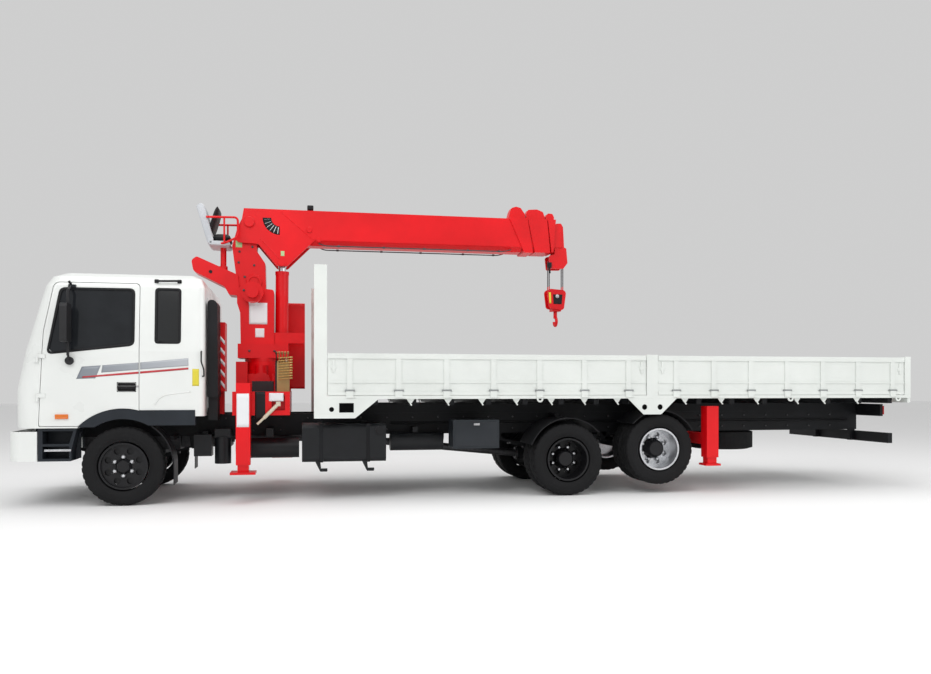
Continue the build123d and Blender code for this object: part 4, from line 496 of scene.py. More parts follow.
def lay_sheet(form, skin, lower, upper, side, columns, rows, lift=SKIN_LIFT):
    """A sheet on a side surface, between two lines of station and height that have as many points."""
    grid = []
    for start, end, first, last in zip(lower, lower[1:], upper, upper[1:]):
        for column in range(columns + (end is lower[-1])):
            share = column / columns
            foot = [start[k] + share * (end[k] - start[k]) for k in range(2)]
            head = [first[k] + share * (last[k] - first[k]) for k in range(2)]
            line = []
            for row in range(rows + 1):
                part = row / rows
                station = foot[0] + part * (head[0] - foot[0])
                height = foot[1] + part * (head[1] - foot[1])
                depth = side_surface(skin, station, height, side)
                line.append(form.verts.new((at(station), depth + side * lift, height)))
            grid.append(line)
    join_lines(form, grid)


def rounded_outline(corners, grow=0.0, steps=6):
    """The points of an outline of four corners given as station, height and rounding, grown outwards."""
    middle = [sum(corner[k] for corner in corners) / 4 for k in range(2)]
    grown = []
    for station, height, radius in corners:
        s = station + grow * (1 if station > middle[0] else -1)
        z = height + grow * (1 if height > middle[1] else -1)
        grown.append((Vector((s, z)), radius + 0.8 * grow))
    result = []
    for index, (corner, radius) in enumerate(grown):
        before = grown[index - 1][0]
        after = grown[(index + 1) % len(grown)][0]
        result += [tuple(point) for point in corner_curve(before, corner, after, radius, steps)]
    result.append(result[0])
    return result


def body_of_node(name):
    """The body that a CAD node belongs to."""
    for body, nodes in frame["record"]["behaviour"]["bodies"].items():
        if name in nodes:
            return body
    return None


def thicken(piece, depth):
    """Gives a sheet its thickness, inwards."""
    solid = piece.modifiers.new("thickness", "SOLIDIFY")
    solid.thickness = depth
    solid.offset = -1


def add_sheet(name, skin, strips, side, finish, body, lift=SKIN_LIFT, depth=SHEET_DEPTH):
    """A sheet on a side surface, from strips: each has two lines, its columns and its rows."""
    form = bmesh.new()
    for lower, upper, columns, rows in strips:
        lay_sheet(form, skin, lower, upper, side, columns, rows, lift)
    piece = add_piece(name, form, finish, body)
    if depth:
        thicken(piece, depth)


def add_label(name, node, place, finish):
    """A flat blank label on a node's left side, between two stations and two heights."""
    front, rear, low, high = place
    strips = [([(front, low), (rear, low)], [(front, high), (rear, high)], 8, 8)]
    add_sheet(name, skin_of(node), strips, 1, finish, body_of_node(node))


# Wheels

TYRE_RADIUS = 0.419
TYRE_WIDTH = 0.245
FRONT_OUTER = 1.085
REAR_OUTER = 1.15
TWIN_PITCH = 0.275
DRIVE_STATION = 4.9
TAG_STATION = 6.03
TAG_HEIGHT = 0.524
FRONT_DISC = 1.023
TWIN_DISC = 0.904

# The tread: half a section, and which of its points the cross grooves cut
TREAD_SEGMENTS = 144
SHOULDER_POINTS = range(9, 14)
SHOULDER_EVERY = 4
SHOULDER_NOTCH = 0.008
RIB_POINTS = range(16, 18)
RIB_EVERY = 6
RIB_NOTCH = 0.004
TYRE_HALF = [(0.088, 0.262), (0.104, 0.268), (0.113, 0.29), (0.1165, 0.294), (0.1205, 0.32)]
TYRE_HALF += [(0.1225, 0.34), (0.1215, 0.352), (0.1225, 0.356), (0.119, 0.378), (0.112, 0.396)]
TYRE_HALF += [(0.107, 0.406), (0.101, 0.4125), (0.094, 0.4155), (0.068, 0.4175), (0.066, 0.407)]
TYRE_HALF += [(0.058, 0.407), (0.056, 0.418), (0.026, 0.4185), (0.024, 0.407), (0.016, 0.407), (0.014, 0.419)]

# Hub nuts, and the cap as pairs of side and radius; a nut's size is its radius and length
NUT_SEAT = 0.012
HUB_NUT = (0.026, 0.044)
FRONT_NUTS = 6
FRONT_NUT_CIRCLE = 0.1
REAR_NUTS = 8
REAR_NUT_CIRCLE = 0.14
HUB_CAP = [(0.906, 0.124), (0.93, 0.112), (1.012, 0.102), (1.036, 0.082)]
HUB_CAP += [(1.04, NEAR_AXIS), (0.906, NEAR_AXIS)]


def tyre_profile(middle):
    """A tyre's section as pairs of side and radius, with four grooves round its tread."""
    outer = [(middle + side, radius) for side, radius in TYRE_HALF]
    inner = [(middle - side, radius) for side, radius in reversed(TYRE_HALF)]
    return outer + inner


def tread_notch(index, number):
    """How deep a point of the tread lies: some segments cross the shoulder and the ribs."""
    mirrored = min(number, 2 * len(TYRE_HALF) - 1 - number)
    if mirrored in SHOULDER_POINTS and index % SHOULDER_EVERY == 0:
        return SHOULDER_NOTCH
    if mirrored in RIB_POINTS and index % RIB_EVERY == 0:
        return RIB_NOTCH
    return 0


def add_tyres():
    """The treaded tyres, over the CAD's plain ones."""
    for side, word in SIDES:
        front = side * (FRONT_OUTER - TYRE_WIDTH / 2)
        outer = side * (REAR_OUTER - TYRE_WIDTH / 2)
        inner = side * (REAR_OUTER - TYRE_WIDTH / 2 - TWIN_PITCH)
        wheels = [("front", f"front_tyre_{word}", 0, TYRE_RADIUS, [front])]
        wheels.append(("drive", f"drive_tyres_{word}", DRIVE_STATION, TYRE_RADIUS, [outer, inner]))
        wheels.append(("tag", f"tag_tyres_{word}", TAG_STATION, TAG_HEIGHT, [outer, inner]))
        for kind, node, station, height, middles in wheels:
            form = bmesh.new()
            for middle in middles:
                add_lathe(form, tyre_profile(middle), station, height, TREAD_SEGMENTS, tread_notch)
            add_piece(f"tread_{kind}_{word}", form, RUBBER, f"wheel_{kind}_{word}", [node])


def add_wheel_trim():
    """Nuts on the hubs, and the black cap on the lifted wheel's hub."""
    for side, word in SIDES:
        rows = [("front", 0, TYRE_RADIUS, FRONT_DISC + NUT_SEAT, FRONT_NUT_CIRCLE, FRONT_NUTS)]
        rows.append(("drive", DRIVE_STATION, TYRE_RADIUS, TWIN_DISC, REAR_NUT_CIRCLE, REAR_NUTS))
        rows.append(("tag", TAG_STATION, TAG_HEIGHT, TWIN_DISC, REAR_NUT_CIRCLE, REAR_NUTS))
        for kind, station, height, depth, circle, count in rows:
            form = bmesh.new()
            for index in range(count):
                angle = 2 * pi * (index + 0.5) / count
                place = (at(station) + circle * cos(angle), side * depth, height + circle * sin(angle))
                add_nut(form, place, (0, side, 0), *HUB_NUT)
            add_piece(f"nuts_{kind}_{word}", form, SILVER, f"wheel_{kind}_{word}")
        form = bmesh.new()
        profile = [(side * depth, radius) for depth, radius in HUB_CAP]
        add_lathe(form, profile, TAG_STATION, TAG_HEIGHT, 48)
        add_piece(f"hub_cap_tag_{word}", form, RIM_BLACK, f"wheel_tag_{word}")


# Cab

# Windows as corners of station, height and rounding
DOOR_WINDOW = [(-0.74, 1.612, 0.06), (-0.62, 2.296, 0.05), (0.104, 2.298, 0.05), (0.104, 1.712, 0.05)]
QUARTER_WINDOW = [(0.332, 1.736, 0.03), (0.332, 2.308, 0.03), (0.574, 2.308, 0.03), (0.574, 1.736, 0.03)]
SEAL_INWARD = 0.012
SEAL_OUTWARD = 0.014
SEAL_DEPTH = 0.002

# Sheets as strips: lower line, upper line, columns, rows
STRIPE_DOOR = [([(-0.458, 1.345), (-0.27, 1.352)], [(-0.404, 1.474), (-0.216, 1.488)], 8, 4)]
STRIPE_DOOR += [([(-0.212, 1.412), (0.16, 1.444)], [(-0.2, 1.49), (0.16, 1.52)], 16, 4)]
STRIPE_CAB = [([(0.176, 1.446), (0.666, 1.488)], [(0.176, 1.521), (0.666, 1.57)], 20, 4)]
LINE_DOOR = [([(-0.4, 1.356), (0.16, 1.402)], [(-0.395, 1.372), (0.16, 1.424)], 20, 1)]
LINE_CAB = [([(0.176, 1.403), (0.666, 1.449)], [(0.176, 1.425), (0.666, 1.469)], 20, 1)]
STICKER = [([(0.706, 1.272), (0.775, 1.272)], [(0.706, 1.455), (0.775, 1.455)], 6, 8)]
CREASE = [(0.328, 1.066), (0.366, 1.132), (0.426, 1.169), (0.55, 1.19), (0.69, 1.203)]
CREASE_LEAN = 0.006
CREASE_WIDTH = 0.014
CREASE_LIFT = 0.004

HANDLE = [([(-0.056, 1.209), (0.136, 1.209)], [(-0.056, 1.311), (0.136, 1.311)], 44, 30)]
HANDLE_LIFT = 0.002
# Probes are the station and height where a surface's depth is taken
LOCK_PROBE = (0.13, 1.26)
LOCK_PLACE = (0.15, 1.268)
LOCK_SIZE = (0.013, 0.006)
MARKER_PROBE = (-0.6, 0.95)
MARKER = (-0.664, -0.534, -0.004, 0.016, 0.926, 0.976)
BULB_PROBE = (-0.5, 2.34)
BULB_PATH = [(-0.52, -0.02, 2.34), (-0.535, 0.008, 2.358), (-0.54, 0.02, 2.37)]
BULB_RADIUS = 0.013

# Bent bars as station, depth from the skin and height; blocks as ranges of the same
BAR_PROBE = (0.33, 2.39)
BAR_PATH = [(0.33, -0.004, 2.393), (0.33, 0.04, 2.393), (0.565, 0.04, 2.399), (0.565, -0.004, 2.399)]
BAR_FEET = (0.33, 0.565)
BAR_BEND = 0.02
BAR_RADIUS = 0.011
BAR_FOOT = (-0.022, 0.022, -0.002, 0.014, 2.376, 2.416)
ROD_PROBE = (0.8, 1.5)
ROD_PATH = [(0.8, -0.01, 1.642), (0.8, 0.03, 1.642), (0.8, 0.03, 1.532)]
ROD_PATH += [(0.828, 0.03, 1.445), (0.828, 0.03, 1.376), (0.81, -0.01, 1.376)]
ROD_BEND = 0.012
ROD_RADIUS = 0.008

BACKING = (-0.79, -0.46, 0.86, 0.9, 0.5, 0.82)
STRIP = (-0.772, -0.51, -0.003, 0.006, 0.588, 0.61)

# The front: wipers as side step, height, rise and lift; then the grille and the plate
FRONT_REACH = 7
WIPER_SIDES = (-0.62, 0.1)
WIPER_FOOT = (0, 1.63, 0, 0.012)
WIPER_ARM = (0.085, 1.63, 0.045, 0.022)
WIPER_RADIUS = 0.008
WIPER_BLOCK = [(-0.02, -0.03, 1.605), (0.014, 0.03, 1.655)]
BLADE_START = 0.16
BLADE = (0.07, 1.72, 0.04, 0.012)
BLADE_RADIUS = 0.007
GRILLE_SLOTS = 5
GRILLE_LOW = 0.95
GRILLE_PITCH = 0.066
GRILLE_SLOT = 0.04
GRILLE_HALF = 0.56
GRILLE_SPREAD = 0.012
GRILLE_MARGIN = 0.007
PLATE_HALF = 0.26
PLATE_SUNK = 0.004
PLATE_PROUD = 0.006
FRONT_PLATE_PROBE = 0.66
FRONT_PLATE_LOW = 0.6
FRONT_PLATE_HIGH = 0.72


def add_seal(name, corners, node, side, body):
    """The black seal round a window."""
    inner = rounded_outline(corners, -SEAL_INWARD)
    outer = rounded_outline(corners, SEAL_OUTWARD)
    strips = [(inner, outer, 3, 3)]
    add_sheet(name, skin_of(node), strips, side, PLASTIC, body, RAISED_LIFT, SEAL_DEPTH)


def add_door_trim(side, word, both):
    """The seals, the stripes, the handle, the marker lamp and the lock of one side."""
    door = f"door_{word}"
    add_seal(f"door_window_seal_{word}", DOOR_WINDOW, door, side, door)
    add_seal(f"quarter_seal_{word}", QUARTER_WINDOW, "cab_shell", side, "cab")
    add_sheet(f"stripe_door_{word}", both, STRIPE_DOOR, side, STRIPE, door)
    add_sheet(f"stripe_cab_{word}", both, STRIPE_CAB, side, STRIPE, "cab")
    add_sheet(f"red_line_door_{word}", both, LINE_DOOR, side, STRIPE_RED, door, RAISED_LIFT)
    add_sheet(f"red_line_cab_{word}", both, LINE_CAB, side, STRIPE_RED, "cab", RAISED_LIFT)
    add_sheet(f"door_handle_{word}", both, HANDLE, side, PLASTIC, door, HANDLE_LIFT, None)
    form = bmesh.new()
    side_block(form, 0, side_surface(both, *MARKER_PROBE, side), side, MARKER, 0.006)
    add_piece(f"marker_{word}", form, AMBER, door)
    form = bmesh.new()
    side_nut(form, both, LOCK_PLACE, side, LOCK_SIZE, LOCK_PROBE)
    add_piece(f"door_lock_{word}", form, STEEL, door)


def add_grab_bar(side, word, both):
    """The bar over the quarter window with its feet, and the bent rod behind the cab's side."""
    form = bmesh.new()
    foot = side_surface(both, *BAR_PROBE, side)
    add_tube(form, rounded_path(side_path(BAR_PATH, side, foot), BAR_BEND), BAR_RADIUS)
    for station in BAR_FEET:
        side_block(form, station, foot, side, BAR_FOOT, 0.006)
    rod = side_surface(both, *ROD_PROBE, side)
    add_tube(form, rounded_path(side_path(ROD_PATH, side, rod), ROD_BEND), ROD_RADIUS, 10)
    add_piece(f"grab_bar_{word}", form, PLASTIC, "cab")


def add_side_trim():
    """The trim on both sides of the cab."""
    for side, word in SIDES:
        both = skin_of(f"door_{word}", "cab_shell")
        add_door_trim(side, word, both)
        add_grab_bar(side, word, both)
        form = bmesh.new()
        root = side_surface(both, *BULB_PROBE, side)
        add_tube(form, side_path(BULB_PATH, side, root), BULB_RADIUS)
        add_piece(f"roof_marker_{word}", form, PLASTIC, "cab")
        add_sheet(f"yellow_sticker_{word}", both, STICKER, side, YELLOW, "cab")
        raised = [(station - CREASE_LEAN, height + CREASE_WIDTH) for station, height in CREASE]
        strips = [(CREASE, raised, 6, 2)]
        add_sheet(f"crease_{word}", both, strips, side, WHITE, "cab", CREASE_LIFT, CREASE_LIFT)
        form = bmesh.new()
        side_block(form, 0, 0, side, BACKING, 0.01)
        body = body_of_node("entry_steps")
        add_piece(f"step_backing_{word}", form, TRIM, body)
        low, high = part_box("entry_steps")
        step_side = (high if side > 0 else low)[1]
        form = bmesh.new()
        side_block(form, 0, step_side, side, STRIP, 0.003)
        add_piece(f"step_strip_{word}", form, SILVER, body)


def front_surface(skin, y, z):
    """The X where the cab's front lies."""
    hit = skin.ray_cast(Vector((FRONT_REACH, y, z)), Vector((-1, 0, 0)))
    return hit[0].x


def glass_line(skin, steps, start, step, height, rise, lift):
    """Points that climb the windscreen from a side and a height, at a lift off it."""
    points = []
    for number in steps:
        y = start + step * number
        z = height + rise * number
        points.append((front_surface(skin, y, z) + lift, y, z))
    return points


def add_wiper(index, y, skin):
    """One wiper: its foot, its arm and its blade, which follow the windscreen."""
    form = bmesh.new()
    foot = glass_line(skin, range(1), y, *WIPER_FOOT)
    add_tube(form, foot + glass_line(skin, range(1, 7), y, *WIPER_ARM), WIPER_RADIUS, 8)
    add_tube(form, glass_line(skin, range(9), y + BLADE_START, *BLADE), BLADE_RADIUS, 6)
    front = foot[0][0]
    low, high = [(front + out, y + across, height) for out, across, height in WIPER_BLOCK]
    add_block(form, low, high, 0.008)
    add_piece(f"wiper_{index}", form, PLASTIC, "cab")


def add_front_trim():
    """Wipers, dark mesh in the grille's slots and a blank plate on the cab's front."""
    skin = skin_of("cab_shell", "cab_glass", "bumper")
    for index, y in enumerate(WIPER_SIDES):
        add_wiper(index, y, skin)
    form = bmesh.new()
    for index in range(GRILLE_SLOTS):
        foot = GRILLE_LOW + index * GRILLE_PITCH + GRILLE_MARGIN
        half = GRILLE_HALF + index * GRILLE_SPREAD - GRILLE_MARGIN
        places = [half * (column / 12 - 1) for column in range(25)]
        lines = []
        for z in (foot, foot + GRILLE_SLOT - 2 * GRILLE_MARGIN):
            lines.append([form.verts.new((front_surface(skin, y, z) + SKIN_LIFT, y, z)) for y in places])
        join_lines(form, lines)
    thicken(add_piece("grille_mesh", form, PLASTIC, "cab"), SHEET_DEPTH)
    form = bmesh.new()
    front = front_surface(skin, 0, FRONT_PLATE_PROBE)
    low = (front - PLATE_SUNK, -PLATE_HALF, FRONT_PLATE_LOW)
    high = (front + PLATE_PROUD, PLATE_HALF, FRONT_PLATE_HIGH)
    add_block(form, low, high, 0.004)
    add_piece("front_plate", form, LABEL, "chassis")


# Crane

# The slewing column; labels as ranges of station and height
COLUMN_LABELS = [("column_label_large", (1.245, 1.455, 2.01, 2.266), LABEL)]
COLUMN_LABELS += [("column_label_small", (1.315, 1.42, 1.854, 1.961), LABEL)]
COLUMN_LABELS += [("column_label_green", (1.085, 1.16, 2.93, 3.01), GREEN)]
COLUMN_BOLTS = [(1.25, 1.69), (1.54, 1.69), (1.19, 2.4), (1.19, 2.58)]
COLUMN_BOLTS += [(1.3, 2.72), (1.12, 2.75), (1.13, 2.88), (1.28, 2.94)]
COLUMN_BOLT = (0.014, 0.014)
BOSS_PROBE = (1.18, 2.6)
BOSS_PLACE = (1.3, 2.52)
BOSS_PROFILE = [(-0.01, 0.095), (0.018, 0.092), (0.024, 0.085), (0.024, 0.06)]
BOSS_PROFILE += [(0.014, 0.055), (0.014, NEAR_AXIS), (-0.01, NEAR_AXIS)]
ARM_HALF = 0.151
# The arm's holes are drawn as thin black discs: painted shade for their dark inside
ARM_HOLE_PLACE = (0.8, 2.627)
ARM_HOLE_SHADE_PROFILE = [(0, 0.02), (0.004, 0.02), (0.004, NEAR_AXIS), (0, NEAR_AXIS)]

# The boom
FAN_STATION = 1.6
FAN_HEIGHT = 3.288
FAN_INNER = 0.1
FAN_OUTER = 0.2
FAN_MARKS = 6
FAN_MARGIN = 0.01
FAN_MARK_HALF = 0.0035
SEAMS = [((1.615, 3.365), (1.985, 3.05)), ((1.37, 3.04), (1.6, 2.8)), ((1.985, 3.05), (2.12, 3.03))]
SEAM_RADIUS = 0.005
BOOM_LABEL = (1.612, 1.655, 2.835, 2.895)
PIN_CAPS = [(1.245, 3.23, 0.062), (1.95, 3.16, 0.035), (2.06, 3.04, 0.03)]
PIN_SUNK = 0.01
PIN_PROUD = 0.015
PIN_CHAMFER = 0.006
PIPE_PATH = [(2.06, 0.14, 3.0), (2.14, 0.166, 2.972), (4.36, 0.166, 2.972), (4.46, 0.14, 3.0)]
PIPE_BEND = 0.04
PIPE_RADIUS = 0.007
PIPE_CLIPS = (2.3, 2.85, 3.35, 3.9, 4.3)
PIPE_CLIP = (-0.015, 0.015, 0.155, 0.176, 2.962, 2.984)
BOOM_TOP = 3.393
LAMP_HEAD = (1.925, 2.0, 0.03, 0.12, BOOM_TOP + 0.02, BOOM_TOP + 0.075)
LAMP_STEM = (1.945, 1.98, 0.06, 0.09, BOOM_TOP - 0.002, BOOM_TOP + 0.03)
SWITCH_BOX = (4.945, 5.005, 0.0995, 0.13, 2.79, 2.86)
SWITCH_STALK = [(4.975, 0.115, 2.8), (4.98, 0.115, 2.72)]
SWITCH_STALK_RADIUS = 0.012

# The hook block; a flat black sheet of painted shade lies over its recess
HOOK_RECESS_SHADE = [([(5.04, 2.33), (5.15, 2.33)], [(5.035, 2.455), (5.16, 2.455)], 6, 6)]
HOOK_STICKER = [([(4.985, 2.34), (5.01, 2.34)], [(4.975, 2.48), (5.005, 2.48)], 3, 6)]
HOOK_PROBE = (5.1, 2.43)
HOOK_NUT_PLACE = (5.088, 2.43)
HOOK_NUT = (0.026, 0.02)

# The base, its labels, a flat black sheet of painted shade over its recess, its levers and the board's
# stripes
BASE_LABEL = (1.505, 1.66, 1.105, 1.195)
BASE_RECESS_SHADE = (1.355, 1.465, 0.91, 1.21)
LEG_LABEL = (1.172, 1.302, 0.83, 1.19)
LEVER_PATH = [(1.38, 1.05, 0.855), (1.45, 1.05, 0.92), (1.6, 1.05, 1.07)]
LEVER_THIN = 0.014
LEVER_THICK = 0.02
LEVER_PIVOT = (1.58, 1.63, 1.018, 1.07, 1.05, 1.1)
VALVE_LEVERS = 9
VALVE_LOW = 1.352
VALVE_PITCH = 0.03
VALVE_PATH = [(1.6, 0.615, 0), (1.6, 0.66, 0), (1.735, 0.68, 0.01)]
VALVE_RADIUS = 0.007
KNOB_RADIUS = 0.011
BOARD_STRIPES = 5
BOARD_LOW = 1.24
BOARD_PITCH = 0.125
BOARD_LOWER = [(0.882, 0.14), (0.998, 0)]
BOARD_UPPER = [(0.882, 0.185), (0.998, 0.045)]

# The operator's seat
SEAT_HALF = 0.232
SEAT_PAN = [(0.79, 2.935), (0.78, 2.985), (1.015, 2.985), (1.03, 2.95), (1.0, 2.93)]
SEAT_BACK = [(0.775, 2.945), (0.645, 3.385), (0.69, 3.425), (0.735, 3.4), (0.84, 3.0), (0.83, 2.945)]
SHELL_EDGE = 0.014
SEAT_PAD = ((at(1.03), -0.215, 2.985), (at(0.83), 0.215, 3.07))
BACK_PAD = ((-0.18, -0.21, 0), (0.18, 0.21, 0.055))
BACK_LEAN = 107
BACK_STATION = 0.805
BACK_HEIGHT = 3.235
PAD_CROWN = 0.012
PAD_ROUNDING = 0.04
PAD_EDGE = 0.35
PAD_UNDER = 0.8
PAD_MERGE = 0.0004
SEAM_DIP = 0.12
SEAT_POST = [(0.935, 0, 2.712), (0.935, 0, 2.94)]
SEAT_POST_RADIUS = 0.035
RAIL_SIDE = 0.252
RAIL_LOOP = [(0.76, RAIL_SIDE, 3.255), (1.12, RAIL_SIDE, 3.262), (1.12, RAIL_SIDE, 3.03)]
RAIL_LOOP += [(0.97, RAIL_SIDE, 2.955), (0.9, 0.2, 2.952)]
RAIL_BEND = 0.05
RAIL_RADIUS = 0.013
RAIL_STAY = [(0.965, RAIL_SIDE, 3.258), (0.965, RAIL_SIDE, 2.955)]
RAIL_STAY_RADIUS = 0.011


def add_cap(form, place, depth, side, profile, segments):
    """A turned cap on a side surface, from pairs of how far it stands out and its radius."""
    ring = [(depth + side * out, radius) for out, radius in profile]
    add_lathe(form, ring, *place, segments)


def add_column_details():
    """Labels, bolts, bosses, and thin black discs of painted shade in the arm's holes, on the slewing column.
    """
    for name, place, finish in COLUMN_LABELS:
        add_label(name, "column", place, finish)
    skin = skin_of("column")
    form = bmesh.new()
    for side, word in SIDES:
        for place in COLUMN_BOLTS:
            side_nut(form, skin, place, side, COLUMN_BOLT)
    add_piece("column_bolts", form, IRON, "slewing_column")
    form = bmesh.new()
    for side, word in SIDES:
        depth = side_surface(skin, *BOSS_PROBE, side)
        add_cap(form, BOSS_PLACE, depth, side, BOSS_PROFILE, 48)
    add_piece("column_bosses", form, RED, "slewing_column")
    # Thin black discs on the arm's sides: painted shade where the holes look dark
    form = bmesh.new()
    for side, word in SIDES:
        add_cap(form, ARM_HOLE_PLACE, side * ARM_HALF, side, ARM_HOLE_SHADE_PROFILE, 24)
    add_piece("arm_holes_painted_shade", form, PLASTIC, "slewing_column")


def fan_point(radius, angle):
    """A point of the angle fan as station and height."""
    return (FAN_STATION + radius * cos(angle), FAN_HEIGHT + radius * sin(angle))


def add_angle_fan(skin):
    """The boom's angle fan: a black quarter ring with white marks."""
    angles = [pi + pi / 2 * step / 8 for step in range(9)]
    inner = [fan_point(FAN_INNER, angle) for angle in angles]
    outer = [fan_point(FAN_OUTER, angle) for angle in angles]
    add_sheet("angle_fan", skin, [(inner, outer, 3, 4)], 1, PLASTIC, "boom_base")
    marks = []
    for step in range(FAN_MARKS):
        angle = pi + pi / 2 * (step + 0.5) / FAN_MARKS
        ends = [fan_point(FAN_INNER + FAN_MARGIN, angle), fan_point(FAN_OUTER - FAN_MARGIN, angle)]
        lower, upper = [[(s - FAN_MARK_HALF, z), (s + FAN_MARK_HALF, z)] for s, z in ends]
        marks.append((lower, upper, 1, 4))
    add_sheet("angle_fan_marks", skin, marks, 1, LABEL, "boom_base", RAISED_LIFT)


def add_boom_seams(skin):
    """The weld seams on the boom's sides."""
    form = bmesh.new()
    for side, word in SIDES:
        for start, end in SEAMS:
            seam = []
            for step in range(13):
                station = start[0] + (end[0] - start[0]) * step / 12
                height = start[1] + (end[1] - start[1]) * step / 12
                seam.append((station, side_surface(skin, station, height, side), height))
            station_tube(form, seam, SEAM_RADIUS, 6)
    add_piece("boom_seams", form, RED, "boom_base")


def add_boom_pipes():
    """The thin pipe along each side of the boom, with its clips."""
    form = bmesh.new()
    for side, word in SIDES:
        add_tube(form, rounded_path(side_path(PIPE_PATH, side), PIPE_BEND), PIPE_RADIUS, 8)
        for station in PIPE_CLIPS:
            side_block(form, station, 0, side, PIPE_CLIP, 0.003)
    add_piece("boom_side_pipes", form, IRON, "boom_base")


def add_boom_details():
    """The fan, the seams, the pin caps, the pipes, the lamp and the limit switch."""
    skin = skin_of("boom_base")
    add_angle_fan(skin)
    add_boom_seams(skin)
    add_label("boom_label_green", "boom_base", BOOM_LABEL, GREEN)
    form = bmesh.new()
    for side, word in SIDES:
        for station, height, radius in PIN_CAPS:
            depth = side_surface(skin, station, height, side)
            profile = [(-PIN_SUNK, radius), (PIN_SUNK, radius), (PIN_PROUD, radius - PIN_CHAMFER)]
            profile += [(PIN_PROUD, NEAR_AXIS), (-PIN_SUNK, NEAR_AXIS)]
            add_cap(form, (station, height), depth, side, profile, 36)
    add_piece("boom_pin_caps", form, RED, "boom_base")
    add_boom_pipes()
    form = bmesh.new()
    station_block(form, *LAMP_HEAD, 0.012)
    station_block(form, *LAMP_STEM, 0.004)
    add_piece("boom_lamp", form, PLASTIC, "boom_base")
    form = bmesh.new()
    station_block(form, *SWITCH_BOX, 0.01)
    station_tube(form, SWITCH_STALK, SWITCH_STALK_RADIUS)
    add_piece("limit_switch", form, PLASTIC, "boom_tip")


def add_hook_details():
    """A flat black sheet of painted shade over the recess, the blank sticker and the axle nut on the hook
    block.
    """
    skin = skin_of("hook_block")
    for side, word in SIDES:
        # A flat black sheet on the block's side: painted shade for the recess
        add_sheet(f"hook_recess_shade_{word}", skin, HOOK_RECESS_SHADE, side, PLASTIC, "hook")
        add_sheet(f"hook_sticker_{word}", skin, HOOK_STICKER, side, YELLOW, "hook")
        form = bmesh.new()
        side_nut(form, skin, HOOK_NUT_PLACE, side, HOOK_NUT, HOOK_PROBE)
        add_piece(f"hook_nut_{word}", form, STEEL, "hook")


def add_levers():
    """The cream lever on the base, and the row of valve levers."""
    form = bmesh.new()
    station_tube(form, LEVER_PATH[:2], LEVER_THIN)
    station_tube(form, LEVER_PATH[1:], LEVER_THICK)
    station_block(form, *LEVER_PIVOT, 0.008)
    add_piece("cream_lever", form, CREAM, "chassis")
    form = bmesh.new()
    for index in range(VALVE_LEVERS):
        height = VALVE_LOW + VALVE_PITCH * index
        lever = [(at(station), depth, height + rise) for station, depth, rise in VALVE_PATH]
        add_tube(form, lever, VALVE_RADIUS, 8)
        add_nut(form, lever[-1], (-1, 0, 0), KNOB_RADIUS, 2 * KNOB_RADIUS)
    add_piece("valve_levers", form, BRASS, "chassis")


def add_base_details():
    """Labels, a flat black sheet of painted shade over a recess, and levers on the crane's base, and the
    stripes on the front board.
    """
    add_label("base_label", "crane_base", BASE_LABEL, LABEL)
    # A flat black sheet on the base's side: painted shade for its recess
    add_label("base_recess_shade", "crane_base", BASE_RECESS_SHADE, PLASTIC)
    add_label("leg_label", "outrigger_beam_left", LEG_LABEL, LABEL)
    add_levers()
    strips = []
    for index in range(BOARD_STRIPES):
        low = BOARD_LOW + BOARD_PITCH * index
        lower = [(station, low + rise) for station, rise in BOARD_LOWER]
        upper = [(station, low + rise) for station, rise in BOARD_UPPER]
        strips.append((lower, upper, 6, 2))
    add_sheet("board_stripes", skin_of("oil_tank"), strips, 1, LABEL, "chassis")


def pad_form(form, low, high, crown, segments=18):
    """A stuffed cushion: a box of rounded section that swells to its middle, with two sewn lines."""
    middle = [(low[k] + high[k]) / 2 for k in range(3)]
    for face in range(2):
        grid = []
        for row in range(segments + 1):
            line = []
            for column in range(segments + 1):
                u = row / segments * 2 - 1
                v = column / segments * 2 - 1
                swell = (1 - u**4) * (1 - v**4)
                seam = SEAM_DIP if column in (segments // 3, segments - segments // 3) else 0
                x = middle[0] + u * (high[0] - low[0]) / 2 * (1 - PAD_ROUNDING * v**4)
                y = middle[1] + v * (high[1] - low[1]) / 2 * (1 - PAD_ROUNDING * u**4)
                rise = (high[2] - low[2]) / 2 * (swell**PAD_EDGE) + crown * swell * (1 - seam) - seam * crown
                z = middle[2] + rise if face else middle[2] - PAD_UNDER * rise
                line.append(form.verts.new((x, y, z)))
            grid.append(line)
        join_lines(form, grid)
    bmesh.ops.remove_doubles(form, verts=form.verts, dist=PAD_MERGE)


def add_seat_pads():
    """The seat's two stuffed pads."""
    form = bmesh.new()
    pad_form(form, *SEAT_PAD, PAD_CROWN)
    seat = add_piece("seat_pad", form, VINYL, "slewing_column", ["top_seat"])
    form = bmesh.new()
    pad_form(form, *BACK_PAD, PAD_CROWN)
    lean = radians(BACK_LEAN)
    middle = Vector((at(BACK_STATION), 0, BACK_HEIGHT))
    for vertex in form.verts:
        x, z = vertex.co.x, vertex.co.z
        vertex.co.x = middle.x + x * cos(lean) - z * sin(lean)
        vertex.co.z = middle.z + x * sin(lean) + z * cos(lean)
    rest = add_piece("back_pad", form, VINYL, "slewing_column", ["top_seat"])


